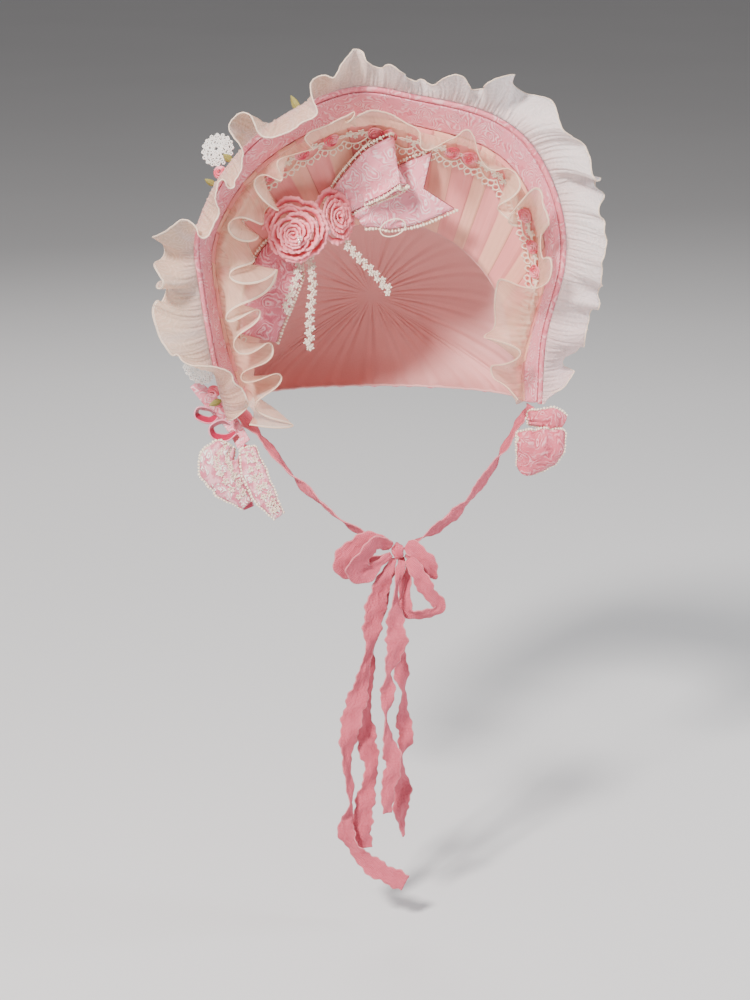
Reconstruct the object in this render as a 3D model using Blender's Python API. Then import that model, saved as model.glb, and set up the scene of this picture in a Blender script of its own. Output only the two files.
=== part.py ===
"""A lolita bonnet in pink jacquard: a flared brim over a gathered crown, with its ruffles, bows and chin ties.

Metres, +Z up, +X to the viewer's right, the face opening towards -Y. The origin is the top of the hollow,
where the brim meets the crown. The bonnet is held as it is worn, a little lower on the viewer's left.
"""

import math

import bpy
import numpy as np

MM = 0.001

# The brim, section by section: t runs from the left lower end (-1) over the top to the right lower end (1).
# Each row gives the inner seam, the outer edge, and how far the section bulges outwards, in mm.
SECTIONS = (
    # t, seam x, seam z, edge x, edge y, edge z, bulge
    (-1.00, -109, -140, -127, -32, -147, 5),
    (-0.85, -106, -108, -138, -52, -99, 9),
    (-0.70, -97, -74, -147, -72, -38, 16),
    (-0.55, -86, -45, -149, -84, 7, 19),
    (-0.40, -69, -23, -126, -83, 54, 18),
    (-0.22, -42, -7, -86, -76, 89, 15),
    (-0.05, -9, 0, -32, -68, 110, 12),
    (0.10, 20, -1, 18, -64, 103, 10),
    (0.28, 54, -17, 73, -62, 88, 8),
    (0.42, 76, -37, 104, -63, 64, 6),
    (0.56, 90, -59, 125, -63, 22, 5),
    (0.70, 99, -85, 131, -58, -25, 4),
    (0.85, 105, -115, 121, -40, -87, 3),
    (1.00, 109, -145, 120, -30, -142, 3),
)
SEAM_FORWARD = 8 * MM  # how far the seam comes forward at its lower ends
HOLLOW_CENTRE_Z = -85 * MM
STATIONS = 40
ROWS = 5

BRIM_WALL = 2.8 * MM
CLEAR = 0.5 * MM
LINING_WALL = 1.0 * MM
PLEATS = 36
PLEAT_RISE = 1.2 * MM
BAND_WIDTH = 26 * MM
BAND_WALL = 1.5 * MM
PIPING_RADIUS = 2.0 * MM
RUFFLE_WALL = 1.0 * MM
INNER_RUFFLE_INSET = 30 * MM

# One row a fold, in mm and degrees. Lean 0 carries the brim's own slope on outwards, 90 stands straight off
# its inner face and 180 lies back over it; below 0 the fold falls behind. Sway moves the hem along the edge.
OUTER_FOLDS = (
    # t, reach, lean, sway
    (-1.00, 4, 65, 2), (-0.96, 29, 80, 8), (-0.90, 28, 60, 18), (-0.865, 28, 45, 18),
    (-0.835, 28, -35, 18), (-0.80, 35, -50, 6), (-0.75, 38, -90, 14), (-0.715, 30, -100, 4),
    (-0.69, 32, -140, -1), (-0.67, 31, -45, 10), (-0.645, 31, -55, 9), (-0.605, 32, -140, -3),
    (-0.575, 30, -30, 18), (-0.55, 33, 0, 18), (-0.525, 36, 30, -5), (-0.495, 32, 55, -3),
    (-0.45, 37, 35, 3), (-0.425, 35, 35, 3), (-0.40, 34, 60, -6), (-0.35, 28, 50, -4),
    (-0.315, 34, 20, -6), (-0.295, 36, -5, -12), (-0.27, 35, 0, -5), (-0.25, 36, 35, -15),
    (-0.215, 33, 65, -8), (-0.17, 37, 65, 1), (-0.148, 36, 50, 2), (-0.13, 33, 10, -7),
    (-0.11, 30, 20, 0), (-0.09, 35, 35, -2), (-0.065, 36, 0, 1), (-0.05, 32, -20, 2),
    (-0.02, 28, 5, -2), (0.00, 14, -10, 0), (0.03, 32, 10, -6), (0.055, 22, 15, -3),
    (0.085, 12, -5, -4), (0.115, 13, -25, -6), (0.14, 12, 10, -6), (0.175, 34, 10, -7),
    (0.20, 25, 10, -3), (0.225, 14, 0, -1), (0.26, 32, 10, -7), (0.32, 32, -95, 3), (0.38, 34, 5, 9),
    (0.45, 35, -20, 16), (0.49, 36, 0, 16), (0.515, 31, -95, 15), (0.55, 34, -10, 8),
    (0.62, 35, -20, 7), (0.70, 32, -25, 0), (0.735, 30, -95, 8), (0.755, 34, -50, -4),
    (0.78, 30, -100, 3), (0.84, 30, -60, -6), (0.90, 31, -135, 5), (0.92, 31, -150, 6),
    (0.945, 29, -110, -7), (1.00, 4, -35, -6),
)
INNER_FOLDS = (
    # t, reach, lean, sway
    (-1.00, 44, 20, 1), (-0.965, 36, 80, -17), (-0.94, 36, 25, -3), (-0.905, 29, 85, 3),
    (-0.86, 34, 20, 2), (-0.81, 28, 85, 1), (-0.755, 28, 20, -9), (-0.71, 29, 60, -1),
    (-0.655, 28, 20, -15), (-0.59, 42, 140, -4), (-0.54, 36, 35, -12), (-0.50, 29, 190, -3),
    (-0.43, 28, 20, -13), (-0.37, 28, 190, -5), (-0.33, 34, 20, -10), (-0.275, 28, 70, -5),
    (-0.245, 37, 20, -11), (-0.20, 28, 50, 5), (-0.175, 44, 20, -8), (-0.12, 44, 20, 0),
    (-0.085, 44, 15, -1), (-0.066, 44, 15, 0), (-0.05, 36, 30, -14), (-0.01, 39, 15, -9),
    (0.045, 36, 15, -8), (0.09, 36, 30, -2), (0.125, 35, 60, -4), (0.165, 36, 35, 1),
    (0.225, 44, 15, -5), (0.27, 34, 40, -6), (0.30, 31, 60, 2), (0.345, 37, 35, 6), (0.37, 37, 45, 11),
    (0.405, 32, 110, 6), (0.445, 35, 70, 16), (0.46, 37, 55, 3), (0.495, 44, 15, -15),
    (0.525, 44, 15, -13), (0.545, 44, 15, -15), (0.57, 44, 15, -11), (0.60, 30, 20, -18),
    (0.635, 34, 30, -7), (0.66, 44, 15, -16), (0.685, 44, 15, -9), (0.735, 28, 80, -17),
    (0.785, 28, 180, 8), (0.835, 28, 70, -10), (0.865, 38, 15, -15), (0.90, 28, 50, -11),
    (1.00, 33, 30, -9),
)

LACE_END = 0.80
LACE_INSET = (35 * MM, 46 * MM, 52 * MM)  # outer side, hollows and tips of the scallops
LACE_SCALLOPS = 34
LACE_WALL = 0.9 * MM
ROSEBUDS = (-0.62, -0.475, -0.385, -0.31, -0.205, -0.125, -0.01, 0.03, 0.20, 0.25, 0.49, 0.575, 0.645)
ROSEBUD_INSET = 40 * MM

CROWN_DEPTH = 125 * MM
CROWN_WALL = 1.6 * MM
CROWN_GATHER = 1.5 * MM
NAPE_DEPTH = 80 * MM
NAPE_DROP = 8 * MM
NAPE_STATIONS = 15
CROWN_PUFF = 0.10
CROWN_ROWS = 6

RIBBON_WALL = 1.2 * MM
TIE_WALL = 1.0 * MM
STRAND_DIAMETER = 6 * MM

# Rows along each ribbon of the chin tie: x, y, z and width in mm, and turn in degrees.
TIE_LOOPS = (
    ("tie_loop_front", (
        (-4.8, -96, -239, 7, 0), (-17, -107, -232, 15, 0), (-29, -112, -243, 18, 0), (-32, -108, -255, 18, 0),
        (-25, -104, -258, 14, 0), (-14, -101, -250, 8, 0), (-4.8, -96.5, -244.5, 4.5, 0),
    )),
    ("tie_loop_left", (
        (-3.8, -92, -238.4, 5, 0), (-19, -93, -234, 14, 0), (-35, -92, -242, 16, 0), (-42, -90, -255, 16, 0),
        (-33, -87, -261, 14, 0), (-19, -87, -252, 11, 0), (-5, -91, -247, 6, 0),
    )),
    ("tie_loop_right", (
        (7.5, -93, -238, 7, 0), (14, -95, -242, 13, 0), (23, -96, -252, 14, 0), (27, -94, -264, 12, 0),
        (22, -90, -262, 11, 0), (14, -89, -252, 10, 0), (7.5, -90, -246, 6, 0),
    )),
    ("tie_loop_low", (
        (9, -98, -248, 6, 0), (15, -103, -257, 12, 0), (24, -103, -274, 12, 0), (34, -101, -288, 9, 0),
        (22, -98, -294, 12, 0), (9, -95, -293, 12, 0), (8, -93, -280, 7, 0), (9, -92, -264, 6, 0),
        (8, -92, -254, 5, 0),
    )),
)
STREAMERS = (
    ("streamer_left", (
        (-2.6, -95.5, -248.9, 4.5, 0), (-13, -98, -273, 15, 20), (-19, -99, -299, 16, 0), (-22, -98, -324, 9, 55),
        (-29, -98, -354, 15, 10), (-37, -98, -387, 16, -15), (-40, -98, -419, 10, 50), (-36, -97, -448, 9, 60),
        (-41, -98, -474, 13, 0), (-33, -99, -493, 13, -30), (-18, -101, -508, 15, 0), (7, -103, -522, 14, 20),
    )),
    ("streamer_back_left", (
        (-3, -91, -249.6, 5, 0), (-7, -89, -275, 10, 40), (-14, -87, -308, 8, 60), (-21, -87, -340, 12, 40),
        (-23, -87, -371, 10, 40), (-23, -88, -405, 16, 0), (-19, -88, -425, 12, 25), (-24, -88, -453, 15, 0),
        (-27, -89, -475, 16, 5), (-26, -90, -496, 14, 0),
    )),
    ("streamer_middle", (
        (4, -97, -249.6, 5, 0), (-1, -103, -273, 8, 60), (-2, -105, -296, 14, 0), (-1, -105, -317, 16, 0),
        (-7, -105, -340, 10, 40), (-8, -105, -358, 12, 0), (-9, -105, -377, 5, 75), (-7, -105, -399, 13, 20),
        (-3, -105, -418, 13, -10), (-7, -105, -436, 12, 10), (-8, -105, -459, 8, 0),
    )),
    ("streamer_right", (
        (4, -91, -249.6, 5, 0), (5, -86, -285, 8, 50), (3, -85, -319, 10, 50), (5, -85, -346, 12, 30),
        (7, -85, -365, 9, 50), (6, -85, -385, 12, 20), (9, -85, -402, 12, 0), (5, -85, -423, 8, 60),
        (6, -85, -447, 14, 0), (5, -85, -467, 12, 20), (7, -85, -488, 6, 60),
    )),
)

COLOURS = {
    # name: red, green, blue, roughness
    "jacquard": (0.74, 0.36, 0.42, 0.55),
    "chiffon": (0.80, 0.44, 0.40, 0.60),
    "crepe": (0.82, 0.78, 0.77, 0.75),
    "organza": (0.84, 0.70, 0.58, 0.60),
    "ivory_lace": (0.88, 0.76, 0.66, 0.85),
    "rose_ribbon": (0.87, 0.36, 0.42, 0.60),
    "rosebud_gimp": (0.70, 0.12, 0.19, 0.70),
    "crimson_satin": (0.52, 0.03, 0.07, 0.40),
    "leaf": (0.30, 0.26, 0.06, 0.70),
    "muslin": (0.72, 0.22, 0.27, 0.85),
}


def material(name):
    """The Principled material of one kind of cloth or trim, made once."""
    found = bpy.data.materials.get(name)
    if found:
        return found
    made = bpy.data.materials.new(name)
    made.use_nodes = True
    shader = made.node_tree.nodes["Principled BSDF"]
    red, green, blue, rough = COLOURS[name]
    shader.inputs["Base Color"].default_value = (red, green, blue, 1)
    shader.inputs["Roughness"].default_value = rough
    shader.inputs["Metallic"].default_value = 0
    return made


def unit(vector):
    return vector / np.linalg.norm(vector)


def smooth_row(table, t):
    """The table's values at t, on a smooth curve through its rows."""
    keys = [row[0] for row in table]
    i = max(1, min(len(keys) - 1, sum(key < t for key in keys)))
    a, b = (np.array(table[k], float) for k in (i - 1, i))
    before = np.array(table[max(i - 2, 0)], float)
    after = np.array(table[min(i + 1, len(table) - 1)], float)
    step = b[0] - a[0]
    u = (t - a[0]) / step
    slope_a = (b - before) / (b[0] - before[0]) * step
    slope_b = (after - a) / (after[0] - a[0]) * step
    value = (
        (2 * u**3 - 3 * u**2 + 1) * a
        + (u**3 - 2 * u**2 + u) * slope_a
        + (3 * u**2 - 2 * u**3) * b
        + (u**3 - u**2) * slope_b
    )
    return value[1:]


def section_point(t, v):
    """A point of the brim's middle surface: v is 0 at the inner seam and 1 at the outer edge."""
    seam_x, seam_z, edge_x, edge_y, edge_z, bulge = smooth_row(SECTIONS, t) * MM
    seam = np.array([seam_x, -SEAM_FORWARD * t * t, seam_z])
    edge = np.array([edge_x, edge_y, edge_z])
    chord = edge - seam
    outward = (seam + edge) / 2 - np.array([0, 0, HOLLOW_CENTRE_Z])
    outward[1] = 0
    outward -= chord * (outward @ chord) / (chord @ chord)
    control = (seam + edge) / 2 + unit(outward) * bulge
    return (1 - v) ** 2 * seam + 2 * v * (1 - v) * control + v * v * edge


def brim_lattice():
    """The faceted brim: its points, inner normals and the width of each section. Every layer lies on it."""
    ts = np.linspace(-1, 1, STATIONS + 1)
    vs = np.linspace(0, 1, ROWS + 1)
    points = np.array([[section_point(t, v) for v in vs] for t in ts])
    along = np.gradient(points, axis=0)
    out = np.gradient(points, axis=1)
    normals = np.cross(along, out)
    normals /= np.linalg.norm(normals, axis=2, keepdims=True)
    widths = np.linalg.norm(np.diff(points, axis=1), axis=2).sum(axis=1)
    return points, normals, widths


POINTS, NORMALS, WIDTHS = brim_lattice()


def on_brim(t, v, lift=0.0):
    """A point at section t and part v of its width, lifted off the middle surface towards the face."""
    a = (t + 1) / 2 * STATIONS
    b = v * ROWS
    i = int(min(max(math.floor(a), 0), STATIONS - 1))
    j = int(min(max(math.floor(b), 0), ROWS - 1))
    p, q = a - i, b - j
    corners = ((i, j, (1 - p) * (1 - q)), (i + 1, j, p * (1 - q)), (i, j + 1, (1 - p) * q), (i + 1, j + 1, p * q))
    point = sum(w * POINTS[k, m] for k, m, w in corners)
    normal = unit(sum(w * NORMALS[k, m] for k, m, w in corners))
    return point + lift * normal


def part_of_width(t, inset, most=0.92):
    """The part v that lies this far in from the outer edge, no further in than most of the width."""
    width = np.interp(t, np.linspace(-1, 1, STATIONS + 1), WIDTHS)
    return 1 - min(inset / width, most)


def axes_at(t, v):
    """Unit directions on the brim: out towards its edge, inward towards the face, and along towards +t."""
    step = 0.02
    inward = unit(on_brim(t, v, MM) - on_brim(t, v))
    low, high = max(t - step, -1), min(t + step, 1)
    along = unit(on_brim(high, v) - on_brim(low, v))
    slope = on_brim(t, v + step) - on_brim(t, v - step)
    out = unit(slope - along * (slope @ along))
    return out, inward, along


def mesh_object(name, points, faces, cloth, smooth=False):
    mesh = bpy.data.meshes.new(name)
    mesh.from_pydata([tuple(p) for p in points], [], faces)
    mesh.materials.append(material(cloth))
    mesh.update()
    if smooth:
        mesh.shade_smooth()
    made = bpy.data.objects.new(name, mesh)
    bpy.context.scene.collection.objects.link(made)
    return made


def sheet(name, grid, wall, cloth, pole=None):
    """Cloth of one thickness through a grid of points. With a pole it goes round, gathered to that point."""
    rows, columns = len(grid), len(grid[0])
    points = [point for row in grid for point in row]
    faces = []
    for i in range(rows if pole is not None else rows - 1):
        here, after = i * columns, (i + 1) % rows * columns
        for j in range(columns - 1):
            faces.append((here + j, here + j + 1, after + j + 1, after + j))
        if pole is not None:
            faces.append((here + columns - 1, len(points), after + columns - 1))
    if pole is not None:
        points.append(pole)
    made = mesh_object(name, points, faces, cloth)
    solid = made.modifiers.new("Cloth thickness", "SOLIDIFY")
    solid.thickness = wall
    solid.offset = 0
    return made


def turned(name, centre, axis, rings, sides, cloth, flat_side=(0, 0, 1), stretch=1.0, swirl=0.0):
    """A closed round solid of rings (radius, height). Swirl raises each ring as a spiral, in metres a turn."""
    axis = unit(np.array(axis, float))
    across = unit(np.cross(axis, np.array(flat_side, float)))
    up = np.cross(across, axis)
    centre = np.array(centre, float)
    points, faces = [], []
    for k, (radius, height) in enumerate(rings):
        for s in range(sides):
            angle = 2 * math.pi * s / sides
            rise = height
            if 0 < k:
                rise += swirl * ((s / sides + k / 2) % 1.0 - 0.5)
            side = across * math.cos(angle) + up * math.sin(angle) * stretch
            points.append(centre + side * radius + axis * rise)
    points += [centre + axis * rings[0][1], centre + axis * (rings[-1][1] + abs(swirl) / 2)]
    low, high = len(points) - 2, len(points) - 1
    last = (len(rings) - 1) * sides
    for s in range(sides):
        after = (s + 1) % sides
        faces.append((low, s, after))
        faces.append((high, last + after, last + s))
        for k in range(len(rings) - 1):
            base = k * sides
            faces.append((base + s, base + sides + s, base + sides + after, base + after))
    return mesh_object(name, points, faces, cloth, smooth=True)


def ribbon(name, rows, wall, cloth, notch=0.0, cup=0.0, across=2, steps=2, first=None):
    """A band of cloth through rows of x, y, z, width (mm) and turn (degrees off its carried direction).

    Its width starts across the view, or along first, and is carried along the path. A notch cuts a
    swallowtail that deep into the far end, and cup bends the middle out of the band's plane.
    """
    table = [(k, *row) for k, row in enumerate(rows)]
    count = (len(rows) - 1) * steps
    path = np.array([smooth_row(table, k / steps) for k in range(count + 1)])
    centres = path[:, :3] * MM
    tangents = np.gradient(centres, axis=0)
    side = np.cross(unit(tangents[0]), (0, -1, 0)) if first is None else np.array(first, float)
    grid = []
    for k in range(count + 1):
        tangent = unit(tangents[k])
        side = unit(side - tangent * (side @ tangent))
        face = np.cross(side, tangent)
        turn = math.radians(path[k, 4])
        wide = math.cos(turn) * side + math.sin(turn) * face
        deep = np.cross(wide, tangent)
        line = []
        for m in range(across + 1):
            x = 2 * m / across - 1
            point = centres[k] + wide * x * path[k, 3] * MM / 2 + deep * cup * MM * (1 - x * x)
            if notch and k == count:
                point = point - tangent * notch * MM * (1 - abs(x))
            line.append(point)
        grid.append(line)
    return sheet(name, grid, wall, cloth)


def brim():
    grid = [[section_point(t, v) for v in np.linspace(0, 1, ROWS + 1)] for t in np.linspace(-1, 1, STATIONS + 1)]
    sheet("brim", grid, BRIM_WALL, "jacquard")


def band_part(t):
    return part_of_width(t, BAND_WIDTH, most=0.7)


def pleated_lining():
    """Knife pleats from the seam to the band: each panel rises along its width and drops at the fold."""
    low = BRIM_WALL / 2 + CLEAR + LINING_WALL / 2
    grid = []
    for k in range(PLEATS):
        for share, rise in ((0.0, 0.0), (0.86, PLEAT_RISE)):
            t = -1 + 2 * (k + share) / PLEATS
            inner = band_part(t) - 1.6 * MM / np.interp(t, np.linspace(-1, 1, STATIONS + 1), WIDTHS)
            grid.append([on_brim(t, v, low + rise) for v in np.linspace(0.01, inner, 4)])
    grid.append([on_brim(1.0, v, low) for v in np.linspace(0.01, band_part(1.0) - 0.02, 4)])
    sheet("pleated_lining", grid, LINING_WALL, "chiffon")


def facing_band():
    lift = BRIM_WALL / 2 + CLEAR + BAND_WALL / 2
    grid = []
    for t in np.linspace(-1, 1, STATIONS + 1):
        inner = band_part(t) + 0.004
        grid.append([on_brim(t, v, lift) for v in (inner, (inner + 1) / 2, 1.0)])
    sheet("facing_band", grid, BAND_WALL, "jacquard")


def edge_piping():
    """The rounded cord seam round the brim's edge."""
    curve = bpy.data.curves.new("edge_piping", "CURVE")
    curve.dimensions = "3D"
    curve.bevel_depth = PIPING_RADIUS
    curve.bevel_resolution = 1
    curve.use_fill_caps = True
    curve.materials.append(material("jacquard"))
    spline = curve.splines.new("POLY")
    spline.points.add(STATIONS)
    for k, t in enumerate(np.linspace(-1, 1, STATIONS + 1)):
        out, inward, _ = axes_at(t, 0.97)
        point = on_brim(t, 1.0) + out * (PIPING_RADIUS + CLEAR) + inward * 0.5 * MM
        spline.points[k].co = (*point, 1)
    made = bpy.data.objects.new("edge_piping", curve)
    bpy.context.scene.collection.objects.link(made)


def ruffle(name, folds, seat, cloth, between=2, rows=2):
    """A gathered strip: each line leaves its seam between the seam's rest angle and its lean, and bends to its lean."""
    ts = []
    for a, b in zip(folds, folds[1:]):
        for k in range(between):
            ts.append(a[0] + (b[0] - a[0]) * k / between)
    ts.append(folds[-1][0])
    lines = []
    for t in ts:
        reach, lean, sway = smooth_row(folds, t)
        point, out, inward, along, rest, ease = seat(t)
        line = [point]
        for k in range(rows):
            bend = ease + (1 - ease) * min(1.0, 1.3 * (k + 0.5) / rows)
            angle = math.radians(rest + (lean - rest) * bend)
            step = math.cos(angle) * out + math.sin(angle) * inward
            point = point + step * reach * MM / rows
            line.append(point + along * sway * MM * ((k + 1) / rows) ** 2)
        lines.append(line)
    sheet(name, lines, RUFFLE_WALL, cloth)


def outer_seat(t):
    out, inward, along = axes_at(t, 0.97)
    point = on_brim(t, 1.0) + out * (2 * PIPING_RADIUS + 2 * CLEAR) - inward * 0.5 * MM
    return point, out, inward, along, 0, 0.6


def inner_seat(t):
    v = part_of_width(t, INNER_RUFFLE_INSET, most=0.74)
    out, inward, along = axes_at(t, v)
    lift = BRIM_WALL / 2 + 2 * CLEAR + LINING_WALL + PLEAT_RISE + RUFFLE_WALL / 2
    return on_brim(t, v, lift), out, inward, along, 90, 0.35


def rose_lace():
    """The braid along the band, with its scalloped loops towards the inner seam."""
    lift = BRIM_WALL / 2 + 3 * CLEAR + LINING_WALL + PLEAT_RISE + LACE_WALL / 2
    outer, hollow, tip = LACE_INSET
    grid = []
    for k in range(2 * LACE_SCALLOPS + 1):
        t = LACE_END * (k / LACE_SCALLOPS - 1)
        inner = tip if k % 2 else hollow
        a, b = part_of_width(t, inner, most=0.93), part_of_width(t, outer, most=0.80)
        grid.append([on_brim(t, a, lift), on_brim(t, b, lift)])
    sheet("rose_lace", grid, LACE_WALL, "ivory_lace")


def lace_rosebuds():
    lift = BRIM_WALL / 2 + 5 * CLEAR + LINING_WALL + PLEAT_RISE + LACE_WALL
    for k, t in enumerate(ROSEBUDS):
        v = part_of_width(t, ROSEBUD_INSET, most=0.84)
        _, inward, along = axes_at(t, v)
        rings = ((4.2 * MM, 0), (4.7 * MM, 1.4 * MM), (2.6 * MM, 3.6 * MM))
        turned(f"lace_rosebud_{k + 1:02d}", on_brim(t, v, lift), inward, rings, 8, "rosebud_gimp", flat_side=along)


def crown_rim():
    """Points round the crown's mouth: along the brim's seam, then back round the nape."""
    rim = []
    for t in np.linspace(-1, 1, STATIONS + 1):
        out, _, _ = axes_at(t, 0.02)
        rim.append(on_brim(t, 0.0) - out * (CROWN_WALL / 2 + CLEAR))
    right, left = rim[-1], rim[0]
    for k in range(1, NAPE_STATIONS):
        angle = math.pi * k / NAPE_STATIONS
        share = (1 - math.cos(angle)) / 2
        point = right * (1 - share) + left * share
        rim.append(point + np.array([0, NAPE_DEPTH * math.sin(angle), -NAPE_DROP * math.sin(angle)]))
    return rim


def crown():
    """The soft crown behind the brim: puffed and gathered to one point at the back."""
    pole = np.array([0, CROWN_DEPTH, HOLLOW_CENTRE_Z])
    grid = []
    for k, front in enumerate(crown_rim()):
        arm = np.array([front[0], 0, front[2] - HOLLOW_CENTRE_Z])
        line = [front]
        for m in range(1, CROWN_ROWS):
            angle = math.pi / 2 * m / CROWN_ROWS
            shrink = math.cos(angle) ** 0.8 * (1 + CROWN_PUFF * math.sin(2 * angle))
            gather = CROWN_GATHER * (1 if k % 2 else -1)
            back = front[1] + (CROWN_DEPTH - front[1]) * math.sin(angle)
            line.append(arm * shrink + unit(arm) * gather + np.array([0, back, HOLLOW_CENTRE_Z]))
        grid.append(line)
    sheet("crown", grid, CROWN_WALL, "jacquard", pole=pole)


def main_bow():
    """The big bow over the left temple: its knot, one loop and two tails."""
    turned("bow_knot", (-51 * MM, -17 * MM, -1 * MM), (-0.2, -1, 0.25),
           ((7 * MM, -3 * MM), (10 * MM, 0), (9 * MM, 3 * MM)), 10, "jacquard", stretch=0.8)
    ribbon("bow_upper_loop", (
        (-44, -23, 12, 14, 0), (-29, -31.5, 28, 28, 0), (-9, -53, 47, 40, 0), (1, -58, 55, 38, 0),
        (2, -53, 53, 35, 0), (-7, -44, 42, 30, 0), (-22, -33, 28, 18, 0),
    ), RIBBON_WALL, "jacquard")
    ribbon("bow_right_tail", (
        (-25, -24, 8, 20, 0), (-12, -28.5, 17, 40, 0), (12, -36, 26, 47, 6), (40, -42, 38, 46, 10),
    ), RIBBON_WALL, "jacquard", notch=16, cup=2)
    ribbon("bow_left_tail", (
        (-71, -17, -12, 18, 0), (-83, -25, -25, 36, 0), (-94, -31, -50, 38, 0), (-104, -35, -84, 30, 0),
    ), RIBBON_WALL, "jacquard", cup=3)


def roses():
    """Two spiral ribbon roses, one large in front and one small behind its right side."""
    turned("rose_large", (-72.5 * MM, -41 * MM, 0.5 * MM), (-0.05, -1, 0.1),
           ((16 * MM, 0), (26 * MM, 5 * MM), (25 * MM, 9 * MM), (20 * MM, 13 * MM), (14 * MM, 16 * MM),
            (8 * MM, 17.5 * MM), (3 * MM, 18 * MM)), 16, "rose_ribbon", swirl=2.4 * MM)
    turned("rose_small", (-40.5 * MM, -32.4 * MM, 8.2 * MM), (0.1, -1, 0.2),
           ((12 * MM, 0), (17 * MM, 3 * MM), (15 * MM, 6 * MM), (9 * MM, 8 * MM), (4 * MM, 8.5 * MM)),
           12, "rose_ribbon", stretch=1.2, swirl=1.6 * MM)


def cord(name, points, diameter, cloth):
    """A round cord or strand through points in mm."""
    curve = bpy.data.curves.new(name, "CURVE")
    curve.dimensions = "3D"
    curve.bevel_depth = diameter / 2
    curve.bevel_resolution = 2
    curve.use_fill_caps = True
    curve.materials.append(material(cloth))
    spline = curve.splines.new("POLY")
    spline.points.add(len(points) - 1)
    for k, point in enumerate(points):
        spline.points[k].co = (*(np.array(point, float) * MM), 1)
    made = bpy.data.objects.new(name, curve)
    bpy.context.scene.collection.objects.link(made)


def lace_strands():
    """Three strands of blossom lace hanging from under the roses."""
    cord("lace_strand_a", (
        (-38, -30.8, -3.5), (-31, -34, -15), (-24, -38, -22), (-16, -45, -30), (-8, -51, -38), (-2, -56, -46),
    ), STRAND_DIAMETER, "ivory_lace")
    cord("lace_strand_b", (
        (-71, -38.9, -13), (-71, -38.5, -26), (-73, -42, -36), (-77, -46, -45), (-80, -49, -53), (-83, -51, -61),
    ), STRAND_DIAMETER, "ivory_lace")
    cord("lace_strand_c", (
        (-64, -38.8, -12), (-61.5, -39, -27), (-61, -44, -40), (-62, -49, -52), (-64, -53, -64), (-64, -57, -76),
        (-66, -60, -89),
    ), STRAND_DIAMETER, "ivory_lace")


def leaf(name, base, along, width):
    """A small pointed leaf from its base, along a vector in mm."""
    base, along = np.array(base, float), np.array(along, float)
    rows = []
    for share, part in ((0.0, 0.25), (0.35, 1.0), (0.7, 0.8), (1.0, 0.12)):
        rows.append((*(base + along * share), width * part, 20))
    ribbon(name, rows, 0.9 * MM, "leaf", cup=0.8, steps=1)


def outside(t, v, away):
    """A point this far clear of the brim's outer face, with the directions out and along there."""
    out, _, along = axes_at(t, v)
    return on_brim(t, v, -(BRIM_WALL / 2 + away)), out, along


def outside_trims():
    """Lace flowers, rosebuds and leaves sewn outside the brim, on the viewer's left and over the top."""
    flat = ((10.5, 0), (12.8, 1.5), (9, 3.4), (3, 4))
    rings = [(radius * MM, height * MM) for radius, height in flat]
    for name, t, v, away, stretch in (
        ("lace_flower_top", -0.375, 0.96, 18, 1.0), ("lace_flower_side", -0.86, 0.92, 13.4, 1.3),
    ):
        centre, out, along = outside(t, v, away * MM)
        turned(name, centre, out, rings, 12, "ivory_lace", flat_side=along, stretch=stretch)
    rings = ((3.4 * MM, 0), (5.2 * MM, 2.5 * MM), (4 * MM, 5.5 * MM), (1.6 * MM, 7 * MM))
    for name, t, v in (("rosebud_top", -0.41, 0.93), ("rosebud_side", -0.925, 0.90)):
        centre, out, _ = outside(t, v, 6 * MM)
        turned(name, centre, out, rings, 8, "rosebud_gimp")
    for name, t, v, reach, width in (
        ("leaf_top", -0.375, 0.985, 9, 6), ("leaf_bud", -0.44, 0.98, 10, 5), ("leaf_side", -0.955, 0.98, 11, 6),
        ("leaf_crest_left", -0.17, 0.95, 15, 6), ("leaf_crest_right", 0.13, 0.95, 15, 6),
    ):
        base, out, along = outside(t, v, 1.2 * MM)
        inward = np.cross(along, out)
        leaf(name, base / MM, (0.55 * out - 0.8 * inward) * reach, width)


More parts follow.
